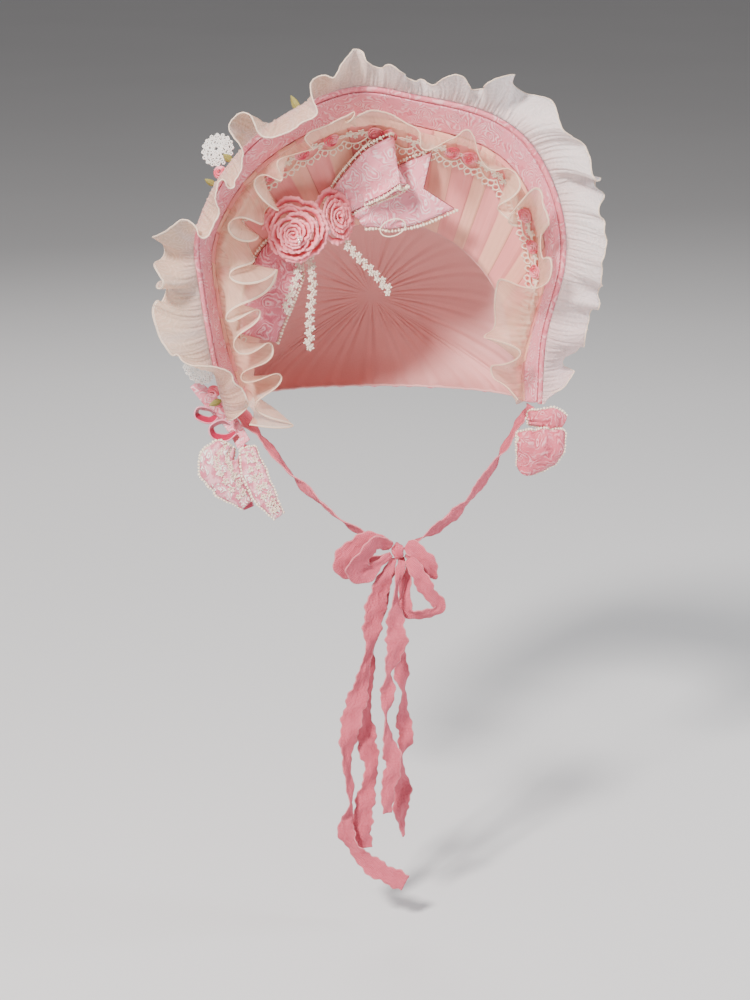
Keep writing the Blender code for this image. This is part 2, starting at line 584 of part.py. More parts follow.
def side_bows():
    """The bows at the brim's lower ends, and the satin loops and strap beside the left one."""
    ribbon("left_bow_strap", (
        (-153.4, -26, -122, 9, 0), (-140.2, -24, -138, 12, 0), (-125, -22, -156, 12, 0), (-116, -45.4, -167, 12, 0),
    ), RIBBON_WALL, "jacquard", across=1)
    ribbon("left_bow_broad", (
        (-129, -47, -167, 13, 0), (-136, -50, -179, 30, 0), (-129, -53, -195, 27, 0), (-115, -54, -214, 9, 0),
    ), RIBBON_WALL, "jacquard", cup=3)
    ribbon("left_bow_narrow", (
        (-113, -48.5, -170, 11, 0), (-109, -57, -186, 17, 0), (-100, -63, -206, 15, 0), (-90, -64, -221, 7, 0),
    ), RIBBON_WALL, "jacquard", cup=2)
    ribbon("left_bow_fold", (
        (-111, -47, -168, 12, 0), (-115, -46, -181, 14, 0), (-121, -46, -198, 16, 0), (-113, -47, -219, 9, 0),
    ), RIBBON_WALL, "crimson_satin", across=1)
    ribbon("satin_loop_upper", (
        (-137, -26.6, -149, 6, 0), (-143, -30, -151, 8, 0), (-152, -31, -147, 8, 0), (-151, -31, -141, 8, 0),
        (-144, -30, -142, 8, 0), (-138, -26.6, -146, 6, 0),
    ), RIBBON_WALL, "crimson_satin", across=1, first=(0, 1, 0))
    ribbon("satin_loop_lower", (
        (-126, -38, -153, 6, 0), (-133, -39, -150, 8, 0), (-141, -40, -154, 8, 0), (-139, -40, -161, 8, 0),
        (-130, -40, -163, 8, 0), (-122, -39, -159, 6, 0),
    ), RIBBON_WALL, "crimson_satin", across=1, first=(0, 1, 0))
    ribbon("right_bow_upper", (
        (113, -26.5, -156, 11, 0), (121, -33, -155, 14, 0), (131, -34, -155, 16, 0), (139, -31, -159, 12, 0),
    ), RIBBON_WALL, "jacquard", cup=2)
    ribbon("right_bow_lower", (
        (121, -34, -165.2, 36, 0), (121, -39, -174, 38, 0), (115, -37, -186, 30, 0), (108, -32, -198, 12, 0),
    ), RIBBON_WALL, "jacquard", cup=4)


def chin_ties():
    """The muslin ties: a strap from each end of the brim, tied under the chin in loops with four free ends."""
    turned("tie_knot", (1 * MM, -88 * MM, -243 * MM), (0, -1, 0),
           ((3 * MM, 0), (5 * MM, 2.5 * MM), (5.2 * MM, 7.5 * MM), (3 * MM, 10 * MM)), 8, "muslin", stretch=1.35)
    ribbon("tie_left", (
        (-118, -20, -145.6, 15, 0), (-108, -28, -158, 15, 10), (-84, -46, -186, 15, 40), (-60, -62, -209, 13, 60),
        (-36, -76, -226, 12, 50), (-14, -84.5, -237, 9, 20), (-4.7, -89.3, -242, 5, 10),
    ), TIE_WALL, "muslin", across=1, first=(-18, -24, -7))
    ribbon("tie_right", (
        (114.5, -19, -147, 15, 0), (104, -22, -163, 15, -10), (84, -42, -188, 15, -40), (60, -62, -212, 13, -60),
        (36, -76, -229, 12, -50), (15, -86, -238, 10, -30), (6.7, -90.2, -242, 5, -10),
    ), TIE_WALL, "muslin", across=1, first=(11, -22, 3))
    for name, rows in TIE_LOOPS:
        ribbon(name, rows, TIE_WALL, "muslin", across=1)
    for name, rows in STREAMERS:
        ribbon(name, rows, TIE_WALL, "muslin", across=1)


def build_cloth():
    brim()
    pleated_lining()
    facing_band()
    edge_piping()
    ruffle("outer_ruffle", OUTER_FOLDS, outer_seat, "crepe")
    ruffle("inner_ruffle", INNER_FOLDS, inner_seat, "organza", rows=3)
    rose_lace()
    lace_rosebuds()
    crown()
    main_bow()
    roses()
    lace_strands()
    outside_trims()
    side_bows()
    chin_ties()


for left_over in list(bpy.data.objects):
    bpy.data.objects.remove(left_over)
build_cloth()
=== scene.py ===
import math
import random

import bpy
import numpy as np
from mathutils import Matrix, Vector


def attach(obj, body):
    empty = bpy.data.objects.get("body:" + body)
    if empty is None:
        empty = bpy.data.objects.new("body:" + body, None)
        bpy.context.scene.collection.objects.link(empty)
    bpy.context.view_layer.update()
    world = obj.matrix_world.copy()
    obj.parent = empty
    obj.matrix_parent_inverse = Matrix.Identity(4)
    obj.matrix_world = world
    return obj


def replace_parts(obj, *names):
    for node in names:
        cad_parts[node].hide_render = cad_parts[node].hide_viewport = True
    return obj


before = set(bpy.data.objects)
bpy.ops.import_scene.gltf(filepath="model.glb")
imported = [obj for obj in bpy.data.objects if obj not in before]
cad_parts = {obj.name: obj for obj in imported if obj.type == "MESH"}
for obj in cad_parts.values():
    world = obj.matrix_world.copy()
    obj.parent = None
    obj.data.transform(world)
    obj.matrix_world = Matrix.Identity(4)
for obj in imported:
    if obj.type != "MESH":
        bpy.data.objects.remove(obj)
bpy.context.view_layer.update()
MM = 0.001

# The studio. A pale floor under the bonnet, soft light from large panels, and the camera a little
# above it and to the left, as in the photograph. Nothing here is part of the bonnet.
CAMERA_AT = (-0.17284, -1.87623, 0.32899)
CAMERA_AIM = (-0.01407, -0.06140, -0.21064)
LENS_LENGTH = 57.9
SENSOR_HEIGHT = 24
STUDIO_COLOUR = (0.80, 0.79, 0.80, 1)
STUDIO_STRENGTH = 0.26
FLOOR_Z = -0.56
FLOOR_REACH = 20


def stand(name, data, at, aim):
    """Puts the camera or a lamp at one point, looking at another."""
    made = bpy.data.objects.new(name, data)
    made.location = at
    made.rotation_euler = (Vector(aim) - Vector(at)).to_track_quat("-Z", "Y").to_euler()
    bpy.context.scene.collection.objects.link(made)
    return made


def light_panel(name, at, aim, size, power, colour):
    data = bpy.data.lights.new(name, "AREA")
    data.shape = "RECTANGLE"
    data.size, data.size_y = size
    data.energy = power
    data.color = colour
    stand(name, data, at, aim)


camera_data = bpy.data.cameras.new("camera")
camera_data.sensor_fit = "VERTICAL"
camera_data.sensor_height = SENSOR_HEIGHT
camera_data.lens = LENS_LENGTH
bpy.context.scene.camera = stand("camera", camera_data, CAMERA_AT, CAMERA_AIM)
light_panel("key", (-1.1, -1.7, 1.5), (0, 0, -0.05), (0.38, 0.38), 136, (1.0, 0.96, 0.93))
light_panel("side", (1.9, -0.3, 0.7), (0, 0, -0.05), (0.8, 1.2), 40, (0.90, 0.95, 1.0))
light_panel("fill", (0.5, -2.4, 0.3), (0, 0, -0.2), (1.8, 1.2), 6, (1.0, 0.97, 0.95))
light_panel("back", (-0.4, 1.8, 1.2), (0, 0, 0), (1.5, 1.0), 22, (1.0, 0.98, 0.97))

world = bpy.data.worlds.new("studio")
world.use_nodes = True
background = world.node_tree.nodes["Background"]
background.inputs["Color"].default_value = STUDIO_COLOUR
background.inputs["Strength"].default_value = STUDIO_STRENGTH
bpy.context.scene.world = world


class Wire:
    """One output of a node, which can be added, multiplied and so on like a number."""

    def __init__(self, nodes, socket):
        self.nodes = nodes
        self.socket = socket

    def maths(self, operation, *values):
        return self.nodes.add("ShaderNodeMath", {"operation": operation}, dict(enumerate(values)))

    def __add__(self, other):
        return self.maths("ADD", self, other)

    def __sub__(self, other):
        return self.maths("SUBTRACT", self, other)

    def __rsub__(self, other):
        return self.maths("SUBTRACT", other, self)

    def __mul__(self, other):
        return self.maths("MULTIPLY", self, other)

    def __truediv__(self, other):
        return self.maths("DIVIDE", self, other)

    def __mod__(self, other):
        return self.maths("FLOORED_MODULO", self, other)

    def __abs__(self):
        return self.maths("ABSOLUTE", self)

    __radd__ = __add__
    __rmul__ = __mul__

    def sine(self):
        return self.maths("SINE", self)

    def capped(self):
        return self.maths("MINIMUM", self, 1.0)


class Nodes:
    """A tree of nodes, where one method adds any node and sets or links what goes into it."""

    def __init__(self, tree):
        self.tree = tree

    def add(self, kind, settings=None, inputs=None, output=0):
        node = self.tree.nodes.new(kind)
        for key, value in (settings or {}).items():
            setattr(node, key, value)
        for key, value in (inputs or {}).items():
            if isinstance(value, Wire):
                self.tree.links.new(value.socket, node.inputs[key])
            else:
                node.inputs[key].default_value = value
        return Wire(self, node.outputs[output])


class Recipe(Nodes):
    """A material made node by node, with one Principled shader."""

    def __init__(self, name, roughness=0.6, sheen=0.0, subsurface=0.0, specular=0.35, sheen_tint=(1, 1, 1)):
        self.material = bpy.data.materials.new(name)
        self.material.use_nodes = True
        super().__init__(self.material.node_tree)
        self.shader = self.tree.nodes["Principled BSDF"]
        finish = {"Roughness": roughness, "Specular IOR Level": specular, "Sheen Weight": sheen,
                  "Sheen Roughness": 0.45, "Sheen Tint": (*sheen_tint, 1)}
        if subsurface:
            finish |= {"Subsurface Weight": subsurface, "Subsurface Radius": (1.0, 0.6, 0.5),
                       "Subsurface Scale": 0.002}
        for key, value in finish.items():
            self.shader.inputs[key].default_value = value

    def axis_of(self, vector, axis):
        if axis is None:
            return vector
        return self.add("ShaderNodeSeparateXYZ", inputs={0: vector}, output=axis)

    def map_of(self, name, axis=None):
        """A UV map of the piece: Cloth is in metres along the cloth, Share runs from 0 to 1."""
        return self.axis_of(self.add("ShaderNodeUVMap", {"uv_map": name}), axis)

    def place(self, axis=None):
        return self.axis_of(self.add("ShaderNodeTexCoord", output="Object"), axis)

    def noise(self, vector, scale, detail=2.0, rough=0.5, output=0):
        return self.add("ShaderNodeTexNoise", {"noise_dimensions": "3D"}, {
            "Vector": vector, "Scale": scale, "Detail": detail, "Roughness": rough}, output)

    def grain(self, along, across, detail=3.0, rough=0.5, map_name="Cloth"):
        """Noise drawn out along or across the cloth."""
        drawn = self.add("ShaderNodeMapping", inputs={
            "Vector": self.map_of(map_name), "Scale": (along, across, 1)})
        return self.noise(drawn, 1.0, detail, rough)

    def threads(self, axis, rate):
        """The threads of a weave that lie side by side on one axis of the cloth."""
        return (self.map_of("Cloth", axis) * rate).sine()

    def step(self, value, low, high):
        """0 below low, 1 above high, smooth between."""
        return self.add("ShaderNodeMapRange", {"interpolation_type": "SMOOTHSTEP"}, {
            "Value": value, "From Min": low, "From Max": high})

    def layers(self, colour, *over):
        """A colour with others laid over it in turn, each as far as its mask lets it."""
        for mask, other in over:
            inputs = {0: mask}
            for key, tint in ((6, colour), (7, other)):
                inputs[key] = tint if isinstance(tint, Wire) else (*tint, 1)
            colour = self.add("ShaderNodeMix", {"data_type": "RGBA"}, inputs, 2)
        return colour

    def finish(self, colour=None, roughness=None, alpha=None, height=None, depth=0.0005, strength=0.6):
        for key, value in (("Base Color", colour), ("Roughness", roughness), ("Alpha", alpha)):
            if value is not None:
                self.tree.links.new(value.socket, self.shader.inputs[key])
        if height is not None:
            bump = self.add("ShaderNodeBump", inputs={
                "Height": height, "Distance": depth, "Strength": strength})
            self.tree.links.new(bump.socket, self.shader.inputs["Normal"])
        return self.material


floor_recipe = Recipe("pale_floor", roughness=0.9, specular=0.1)
floor_tone = floor_recipe.noise(floor_recipe.place(), 1.5)
floor_colour = floor_recipe.layers((0.70, 0.69, 0.69), (floor_tone, (0.74, 0.73, 0.73)))
floor_corners = [(x * FLOOR_REACH, y * FLOOR_REACH, FLOOR_Z)
                 for x, y in ((-1, -1), (1, -1), (1, 1), (-1, 1))]
floor_mesh = bpy.data.meshes.new("floor")
floor_mesh.from_pydata(floor_corners, [], [(0, 1, 2, 3)])
floor_mesh.materials.append(floor_recipe.finish(colour=floor_colour))
floor = bpy.data.objects.new("floor", floor_mesh)
bpy.context.scene.collection.objects.link(floor)

# The brim. A stiffened shell covered in pink jacquard, wide over the forehead and drawn in at its lower
# ends. Every trim lies on it, so its sections give each of them its place.
SECTIONS = (
    # t, seam x, seam z, edge x, edge y, edge z, bulge
    (-1.00, -109, -140, -127, -32, -147, 5),
    (-0.85, -106, -108, -138, -52, -99, 9),
    (-0.70, -97, -74, -147, -72, -38, 16),
    (-0.55, -86, -45, -149, -84, 7, 19),
    (-0.40, -69, -23, -126, -83, 54, 18),
    (-0.22, -42, -7, -86, -76, 89, 15),
    (-0.05, -9, 0, -32, -68, 110, 12),
    (0.10, 20, -1, 18, -64, 103, 10),
    (0.28, 54, -17, 73, -62, 88, 8),
    (0.42, 76, -37, 104, -63, 64, 6),
    (0.56, 90, -59, 125, -63, 22, 5),
    (0.70, 99, -85, 131, -58, -25, 4),
    (0.85, 105, -115, 121, -40, -87, 3),
    (1.00, 109, -145, 120, -30, -142, 3),
)
SEAM_FORWARD = 8 * MM
HOLLOW_CENTRE_Z = -85 * MM
STATIONS = 400
ROWS = 40
BRIM_WALL = 2.6 * MM
CLEAR = 0.5 * MM
POLE_REACH = 4 * MM
SILK_THREADS = 5600


def unit(vectors):
    vectors = np.asarray(vectors, float)
    return vectors / np.linalg.norm(vectors, axis=-1, keepdims=True)


def normals_of(grid):
    return unit(np.cross(np.gradient(grid, axis=0), np.gradient(grid, axis=1)))


def smooth_row(table, t):
    """The table's values at t, on a smooth curve through its rows."""
    keys = [row[0] for row in table]
    i = max(1, min(len(keys) - 1, sum(key < t for key in keys)))
    a, b = (np.array(table[k], float) for k in (i - 1, i))
    before = np.array(table[max(i - 2, 0)], float)
    after = np.array(table[min(i + 1, len(table) - 1)], float)
    step = b[0] - a[0]
    u = (t - a[0]) / step
    slope_a = (b - before) / (b[0] - before[0]) * step
    slope_b = (after - a) / (after[0] - a[0]) * step
    value = ((2 * u**3 - 3 * u**2 + 1) * a + (u**3 - 2 * u**2 + u) * slope_a
             + (3 * u**2 - 2 * u**3) * b + (u**3 - u**2) * slope_b)
    return value[1:]


def brim_section(t):
    """One section of the brim, from the inner seam to its outer edge."""
    seam_x, seam_z, edge_x, edge_y, edge_z, bulge = smooth_row(SECTIONS, t) * MM
    seam = np.array([seam_x, -SEAM_FORWARD * t * t, seam_z])
    edge = np.array([edge_x, edge_y, edge_z])
    chord = edge - seam
    outward = (seam + edge) / 2 - np.array([0, 0, HOLLOW_CENTRE_Z])
    outward[1] = 0
    outward -= chord * (outward @ chord) / (chord @ chord)
    control = (seam + edge) / 2 + unit(outward) * bulge
    v = np.linspace(0, 1, ROWS + 1)[:, None]
    return (1 - v) ** 2 * seam + 2 * v * (1 - v) * control + v * v * edge


BRIM = np.array([brim_section(t) for t in np.linspace(-1, 1, STATIONS + 1)])
BRIM_IN = normals_of(BRIM)
BRIM_WIDTHS = np.linalg.norm(np.diff(BRIM, axis=1), axis=2).sum(axis=1)


def on_brim(t, v, lift=0.0):
    """A point at section t and part v of its width, lifted off the middle surface towards the face."""
    a = (min(max(t, -1), 1) + 1) / 2 * STATIONS
    b = min(max(v, 0), 1) * ROWS
    i, j = min(int(a), STATIONS - 1), min(int(b), ROWS - 1)
    p, q = a - i, b - j
    point = ((1 - p) * (1 - q) * BRIM[i, j] + p * (1 - q) * BRIM[i + 1, j]
             + (1 - p) * q * BRIM[i, j + 1] + p * q * BRIM[i + 1, j + 1])
    return point + lift * BRIM_IN[i, j]


def part_of_width(t, inset, most=0.92):
    width = np.interp(t, np.linspace(-1, 1, STATIONS + 1), BRIM_WIDTHS)
    return 1 - min(inset / width, most)


def axes_at(t, v):
    """Unit directions on the brim: out towards its edge, inward towards the face, and along towards +t."""
    step = 0.02
    low, high = max(t - step, -1), min(t + step, 1)
    along = unit(on_brim(high, v) - on_brim(low, v))
    slope = on_brim(t, min(v + step, 1)) - on_brim(t, max(v - step, 0))
    out = unit(slope - along * (slope @ along))
    return out, unit(np.cross(along, out)), along


def piece(name, mesh, slot, wall=0.0):
    """Puts a mesh in the scene as part of the bonnet, and gives flat cloth its thickness."""
    made = bpy.data.objects.new(name, mesh)
    bpy.context.scene.collection.objects.link(made)
    if wall:
        solid = made.modifiers.new("Cloth thickness", "SOLIDIFY")
        solid.thickness = wall
        solid.offset = 0
    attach(made, "root")
    return made


def sewn(name, vertices, faces, metres, shares, material, slot, wall=0.0):
    """A piece from its points and faces, with its two maps: Cloth in metres and Share from 0 to 1."""
    mesh = bpy.data.meshes.new(name)
    mesh.from_pydata([tuple(p) for p in vertices], [], faces)
    for key, values in (("Cloth", metres), ("Share", shares)):
        mesh.uv_layers.new(name=key).data.foreach_set("uv", np.array(values, np.float32).ravel())
    mesh.materials.append(material)
    mesh.shade_smooth()
    return piece(name, mesh, slot, wall)


def cloth(name, grid, wall, material, slot, closed=False, pole=None):
    """Cloth through a grid of points. A closed one runs round, and a pole draws its far side together."""
    grid = np.asarray(grid, float)
    rows, columns = grid.shape[:2]
    vertices = list(grid.reshape(-1, 3))
    lengths = np.linalg.norm(np.diff(grid, axis=0), axis=2).mean(axis=1)
    if closed:
        lengths = np.append(lengths, np.linalg.norm(grid[0] - grid[-1], axis=1).mean())
    u = np.concatenate([[0], np.cumsum(lengths)])
    across = np.linalg.norm(np.diff(grid, axis=1), axis=2)
    v = np.concatenate([np.zeros((rows, 1)), np.cumsum(across, axis=1)], axis=1)
    faces, metres, shares = [], [], []
    spans = rows if closed else rows - 1
    for i in range(spans):
        k = (i + 1) % rows
        for j in range(columns - 1):
            corners = ((i, i, j), (i, i, j + 1), (k, i + 1, j + 1), (k, i + 1, j))
            faces.append([row * columns + column for row, _, column in corners])
            metres += [(u[step], v[row, column]) for row, step, column in corners]
            shares += [(step / spans, column / (columns - 1)) for _, step, column in corners]
        if pole is not None:
            faces.append(((i + 1) * columns - 1, rows * columns, (k + 1) * columns - 1))
            metres += [(u[i], v[i, -1]), (u[i], v[i, -1] + POLE_REACH), (u[i + 1], v[k, -1])]
            shares += [(i / spans, 1.0), (i / spans, 1.0), ((i + 1) / spans, 1.0)]
    if pole is not None:
        vertices.append(pole)
    return sewn(name, vertices, faces, metres, shares, material, slot, wall)


def cut(grid, closed=False):
    """The flat size a gathered or folded grid was cut to, as width, length and area."""
    grid = np.asarray(grid, float)
    if closed:
        grid = np.concatenate([grid, grid[:1]])
    length = np.linalg.norm(np.diff(grid, axis=0), axis=2).sum(axis=0).max()
    width = np.linalg.norm(np.diff(grid, axis=1), axis=2).sum(axis=1).max()
    one = np.cross(grid[1:, :-1] - grid[:-1, :-1], grid[:-1, 1:] - grid[:-1, :-1])
    two = np.cross(grid[1:, :-1] - grid[1:, 1:], grid[:-1, 1:] - grid[1:, 1:])
    area = (np.linalg.norm(one, axis=2).sum() + np.linalg.norm(two, axis=2).sum()) / 2
    return (float(width), float(length)), float(min(area, width * length))


def declare(piece, grid, held, rests_on, closed=False, **more):
    flat, area = cut(grid, closed)


def jacquard(name, ground, figure, deep, motif=24.0, rings=34.0):
    """Figured silk: scrolling rosettes woven in satin on a dull ground, with the weave in its relief."""
    made = Recipe(name, roughness=0.5, sheen=0.08, subsurface=0.06, specular=0.5, sheen_tint=(1, 0.85, 0.88))
    place = made.map_of("Cloth")
    bent = made.add("ShaderNodeVectorMath", {"operation": "MULTIPLY_ADD"},
                    {0: made.noise(place, 55, output=1), 1: (0.026, 0.026, 0.0), 2: place})
    cells = made.add("ShaderNodeTexVoronoi", {"voronoi_dimensions": "2D", "feature": "SMOOTH_F1"},
                     {"Vector": bent, "Scale": 1000 / motif, "Smoothness": 0.4, "Randomness": 0.8})
    scrolls = (cells * rings + made.noise(bent, 210, detail=3.0, rough=0.6) * 9.0).sine()
    line = made.step(scrolls, 0.30, 0.72)
    flower = made.step(cells, 0.34, 0.22)
    gaps = made.step(made.noise(place, 125), 0.44, 0.53)
    leaves = made.step(made.noise(bent, 360, detail=3.0, rough=0.7), 0.55, 0.60)
    mask = (line * gaps * 0.85 + leaves * 0.4 + flower * line * 0.5).capped()
    furrow = made.step(scrolls, -0.6, -1.0) * gaps
    weave = made.threads(0, SILK_THREADS) * made.threads(1, SILK_THREADS)
    tone = made.noise(place, 24, detail=3.0)
    colour = made.layers(ground, (mask * 0.85, figure), (furrow * 0.6, deep),
                         (made.step(tone, 0.45, 0.85) * 0.4, deep))
    rough = 0.60 - mask * 0.28 + weave * 0.03
    height = mask * 0.8 + weave * 0.14 - furrow * 0.3 + tone * 0.8
    return made.finish(colour=colour, roughness=rough, height=height, depth=0.0007, strength=0.55)


PINK_GROUND = (0.82, 0.23, 0.29)
PINK_FIGURE = (0.96, 0.56, 0.58)
PINK_DEEP = (0.60, 0.11, 0.16)
brim_silk = jacquard("brim_jacquard", PINK_GROUND, PINK_FIGURE, PINK_DEEP)
brim_grid = BRIM[::2, ::2]
brim_shell = cloth("brim_shell", brim_grid, BRIM_WALL, brim_silk, "jacquard")
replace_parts(brim_shell, "brim")
declare(brim_shell, brim_grid, "stretched", ["crown"])

# The lining. Sheer chiffon laid over the inside of the brim in knife pleats, pink and peach by turns,
# stitched under the band at the edge and into the inner seam.
LINING_WALL = 0.6 * MM
PLEATS = 30
PLEAT_RISE = 1.2 * MM
BAND_WIDTH = 26 * MM
LINING_LOW = BRIM_WALL / 2 + CLEAR + LINING_WALL / 2
lining_dice = random.Random(4)


def band_part(t):
    return part_of_width(t, BAND_WIDTH, most=0.7)


pleat_edges = [-1 + 2 * k / PLEATS + (lining_dice.uniform(-0.014, 0.014) if 0 < k < PLEATS else 0)
               for k in range(PLEATS + 1)]
lining_grid = []
for start, end in zip(pleat_edges, pleat_edges[1:]):
    for share in (0.0, 0.04, 0.1, 0.2, 0.3, 0.4, 0.5, 0.6, 0.7, 0.8, 0.88, 0.93, 0.97):
        t = start + (end - start) * share
        rise = PLEAT_RISE * min(1, share / 0.9) if share < 0.93 else PLEAT_RISE * 0.55
        crease = 0.18 * MM * math.sin(share * 19 + start * 40)
        inner = band_part(t) - 0.006
        lining_grid.append([on_brim(t, v, LINING_LOW + rise * (0.55 + 0.45 * math.sin(math.pi * v)) + crease)
                            for v in np.linspace(0.005, inner, 18)])
lining_grid.append([on_brim(1.0, v, LINING_LOW) for v in np.linspace(0.005, band_part(1.0) - 0.02, 18)])
lining_grid = np.array(lining_grid)

chiffon = Recipe("chiffon", roughness=0.6, sheen=0.12, subsurface=0.08, specular=0.3,
                 sheen_tint=(1, 0.9, 0.85))
panel = chiffon.map_of("Share", 0) * PLEATS
pair = (panel / 2.0) % 1.0
silk_lines = chiffon.grain(900, 24)
soft_tone = chiffon.grain(PLEATS * 0.7, 1.2, detail=1.0, map_name="Share")
# Painted shade: a dark line in the crease near the end of every other pleat.
pleat_crease_shade = chiffon.step(abs(panel % 1.0 - 0.94), 0.045, 0.0) * chiffon.step(pair, 0.4, 0.6)
peach_part = chiffon.step(pair, 0.51, 0.58) * chiffon.step(pair, 1.0, 0.95)
chiffon_colour = chiffon.layers(
    (0.84, 0.24, 0.24),
    (peach_part * 0.85, (0.88, 0.46, 0.31)),
    (chiffon.step(soft_tone, 0.3, 0.75) * 0.5, (0.87, 0.33, 0.28)),
    (silk_lines * 0.40, (0.92, 0.52, 0.44)),
    (pleat_crease_shade * 0.7, (0.52, 0.12, 0.13)),
)
chiffon_cloth = chiffon.finish(colour=chiffon_colour, height=silk_lines, depth=0.0004, strength=0.5)
lining = cloth("lining", lining_grid, LINING_WALL, chiffon_cloth, "chiffon")
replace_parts(lining, "pleated_lining")
declare(lining, lining_grid, "folded", [brim_shell])

# The band. A flat facing of the same jacquard round the inside of the brim's edge, which covers the
# ends of the lining, with its seam turned under.
BAND_WALL = 1.3 * MM
BAND_LIFT = BRIM_WALL / 2 + CLEAR + BAND_WALL / 2
BAND_TURN = 0.5 * MM
band_silk = jacquard("band_jacquard", (0.86, 0.28, 0.35), (1.0, 0.66, 0.70), (0.66, 0.10, 0.17),
                     motif=19, rings=54)
band_grid = []
for t in np.linspace(-1, 1, 301):
    inner = band_part(t) + 0.004
    line = []
    for share in (0.0, 0.03, 0.1, 0.25, 0.4, 0.55, 0.7, 0.85, 0.95, 1.0):
        v = inner + (1 - inner) * share
        swell = BAND_TURN * (math.sin(math.pi * share) ** 0.5 - 0.5)
        line.append(on_brim(t, v, BAND_LIFT + swell))
    band_grid.append(line)
band = cloth("band", band_grid, BAND_WALL, band_silk, "jacquard")
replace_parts(band, "facing_band")
declare(band, band_grid, "stretched", [brim_shell])

# The piping. A cord covered in jacquard, let into the seam round the brim's edge.
PIPING_RADIUS = 2.0 * MM
NEAR_EDGE = 0.97
RING_CLOTH = 10 * MM


def toward(across, up, angle, stretch=1.0):
    """The direction at an angle from across to up."""
    return across * math.cos(angle) + up * math.sin(angle) * stretch


def run_of(points):
    """How far each point of a path is along it."""
    return np.concatenate([[0], np.cumsum(np.linalg.norm(np.diff(points, axis=0), axis=1))])


def tube(path, radius, sides):
    """A grid of rings round a path. The rings carry their direction along it."""
    tangents = unit(np.gradient(path, axis=0))
    side = np.cross(tangents[0], (0.3, 0.5, 0.8))
    grid = []
    for point, tangent in zip(path, tangents):
        side = unit(side - tangent * (side @ tangent))
        up = np.cross(tangent, side)
        grid.append([point + radius * toward(side, up, a)
                     for a in np.linspace(0, 2 * math.pi, sides, endpoint=False)])
    return np.array(grid)


def rings_mesh(name, grid, material, slot):
    """A closed tube from its rings. Its map gives every turn the same width of cloth."""
    rows, sides = grid.shape[:2]
    u = run_of(grid.mean(axis=1))
    faces, metres = [], []
    for i in range(rows - 1):
        for s in range(sides):
            a, b = i * sides + s, i * sides + (s + 1) % sides
            faces.append((a, b, b + sides, a + sides))
            for row, turn in ((i, s), (i, s + 1), (i + 1, s + 1), (i + 1, s)):
                metres.append((u[row], turn / sides * RING_CLOTH))
    for base, order in ((0, -1), ((rows - 1) * sides, 1)):
        faces.append(tuple(base + s for s in range(sides))[::order])
        metres += [(0.0, 0.0)] * sides
    return sewn(name, grid.reshape(-1, 3), faces, metres, [(0.5, 0.5)] * len(metres), material, slot)


piping_path = []
for t in np.linspace(-1, 1, 321):
    out, inward, _ = axes_at(t, NEAR_EDGE)
    piping_path.append(on_brim(t, 1.0) + out * (PIPING_RADIUS + 0.2 * MM) + inward * 0.5 * MM)
piping = rings_mesh("piping", tube(piping_path, PIPING_RADIUS, 10), brim_silk, "jacquard")
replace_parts(piping, "edge_piping")

# The outer ruffle. Crinkled white crepe, gathered into the piping seam and standing out round the brim.
# Each fold of its hem has a row here: how far it reaches, how it leans and how its hem sways.
OUTER_FOLDS = (
    # t, reach, lean, sway
    (-1.00, 4, 65, 2), (-0.96, 29, 80, 8), (-0.90, 28, 60, 18), (-0.865, 28, 45, 18),
    (-0.835, 28, -35, 18), (-0.80, 35, -50, 6), (-0.75, 38, -90, 14), (-0.715, 30, -100, 4),
    (-0.69, 32, -140, -1), (-0.67, 31, -45, 10), (-0.645, 31, -55, 9), (-0.605, 32, -140, -3),
    (-0.575, 30, -30, 18), (-0.55, 33, 0, 18), (-0.525, 36, 30, -5), (-0.495, 32, 55, -3),
    (-0.45, 37, 35, 3), (-0.425, 35, 35, 3), (-0.40, 34, 60, -6), (-0.35, 28, 50, -4),
    (-0.315, 34, 20, -6), (-0.295, 36, -5, -12), (-0.27, 35, 0, -5), (-0.25, 36, 35, -15),
    (-0.215, 33, 65, -8), (-0.17, 37, 65, 1), (-0.148, 36, 50, 2), (-0.13, 33, 10, -7),
    (-0.11, 30, 20, 0), (-0.09, 35, 35, -2), (-0.065, 36, 0, 1), (-0.05, 32, -20, 2),
    (-0.02, 28, 5, -2), (0.00, 14, -10, 0), (0.03, 32, 10, -6), (0.055, 22, 15, -3),
    (0.085, 12, -5, -4), (0.115, 13, -25, -6), (0.14, 12, 10, -6), (0.175, 34, 10, -7),
    (0.20, 25, 10, -3), (0.225, 14, 0, -1), (0.26, 32, 10, -7), (0.32, 32, -95, 3), (0.38, 34, 5, 9),
    (0.45, 35, -20, 16), (0.49, 36, 0, 16), (0.515, 31, -95, 15), (0.55, 34, -10, 8),
    (0.62, 35, -20, 7), (0.70, 32, -25, 0), (0.735, 30, -95, 8), (0.755, 34, -50, -4),
    (0.78, 30, -100, 3), (0.84, 30, -60, -6), (0.90, 31, -135, 5), (0.92, 31, -150, 6),
    (0.945, 29, -110, -7), (1.00, 4, -35, -6),
)
RUFFLE_WALL = 0.5 * MM


def ripple(length, pitches, seed):
    """A sum of waves of these pitches, the same on each run."""
    dice = random.Random(seed)
    waves = [np.sin(2 * math.pi * length / pitch + dice.uniform(0, 6.28)) for pitch in pitches]
    return sum(waves) / len(pitches)


def swelled(values, size):
    """How far each line of a ruffle moves along its hem, so that its folds swell like the letter S."""
    count = len(values)
    window = max(3, count // 16) | 1
    padded = np.pad(values, window // 2, mode="edge")
    mean = np.convolve(padded, np.ones(window) / window, mode="valid")
    high = (values - mean) / size
    slope = np.gradient(high) * count * 0.05 / (2 * math.pi)
    return -np.tanh(2 * high * slope)


def softened(values, reach):
    """The values averaged along the hem over about this many lines."""
    kernel = np.exp(-0.5 * (np.arange(-3 * reach, 3 * reach + 1) / reach) ** 2)
    return np.convolve(np.pad(values, 3 * reach, mode="edge"), kernel / kernel.sum(), mode="valid")


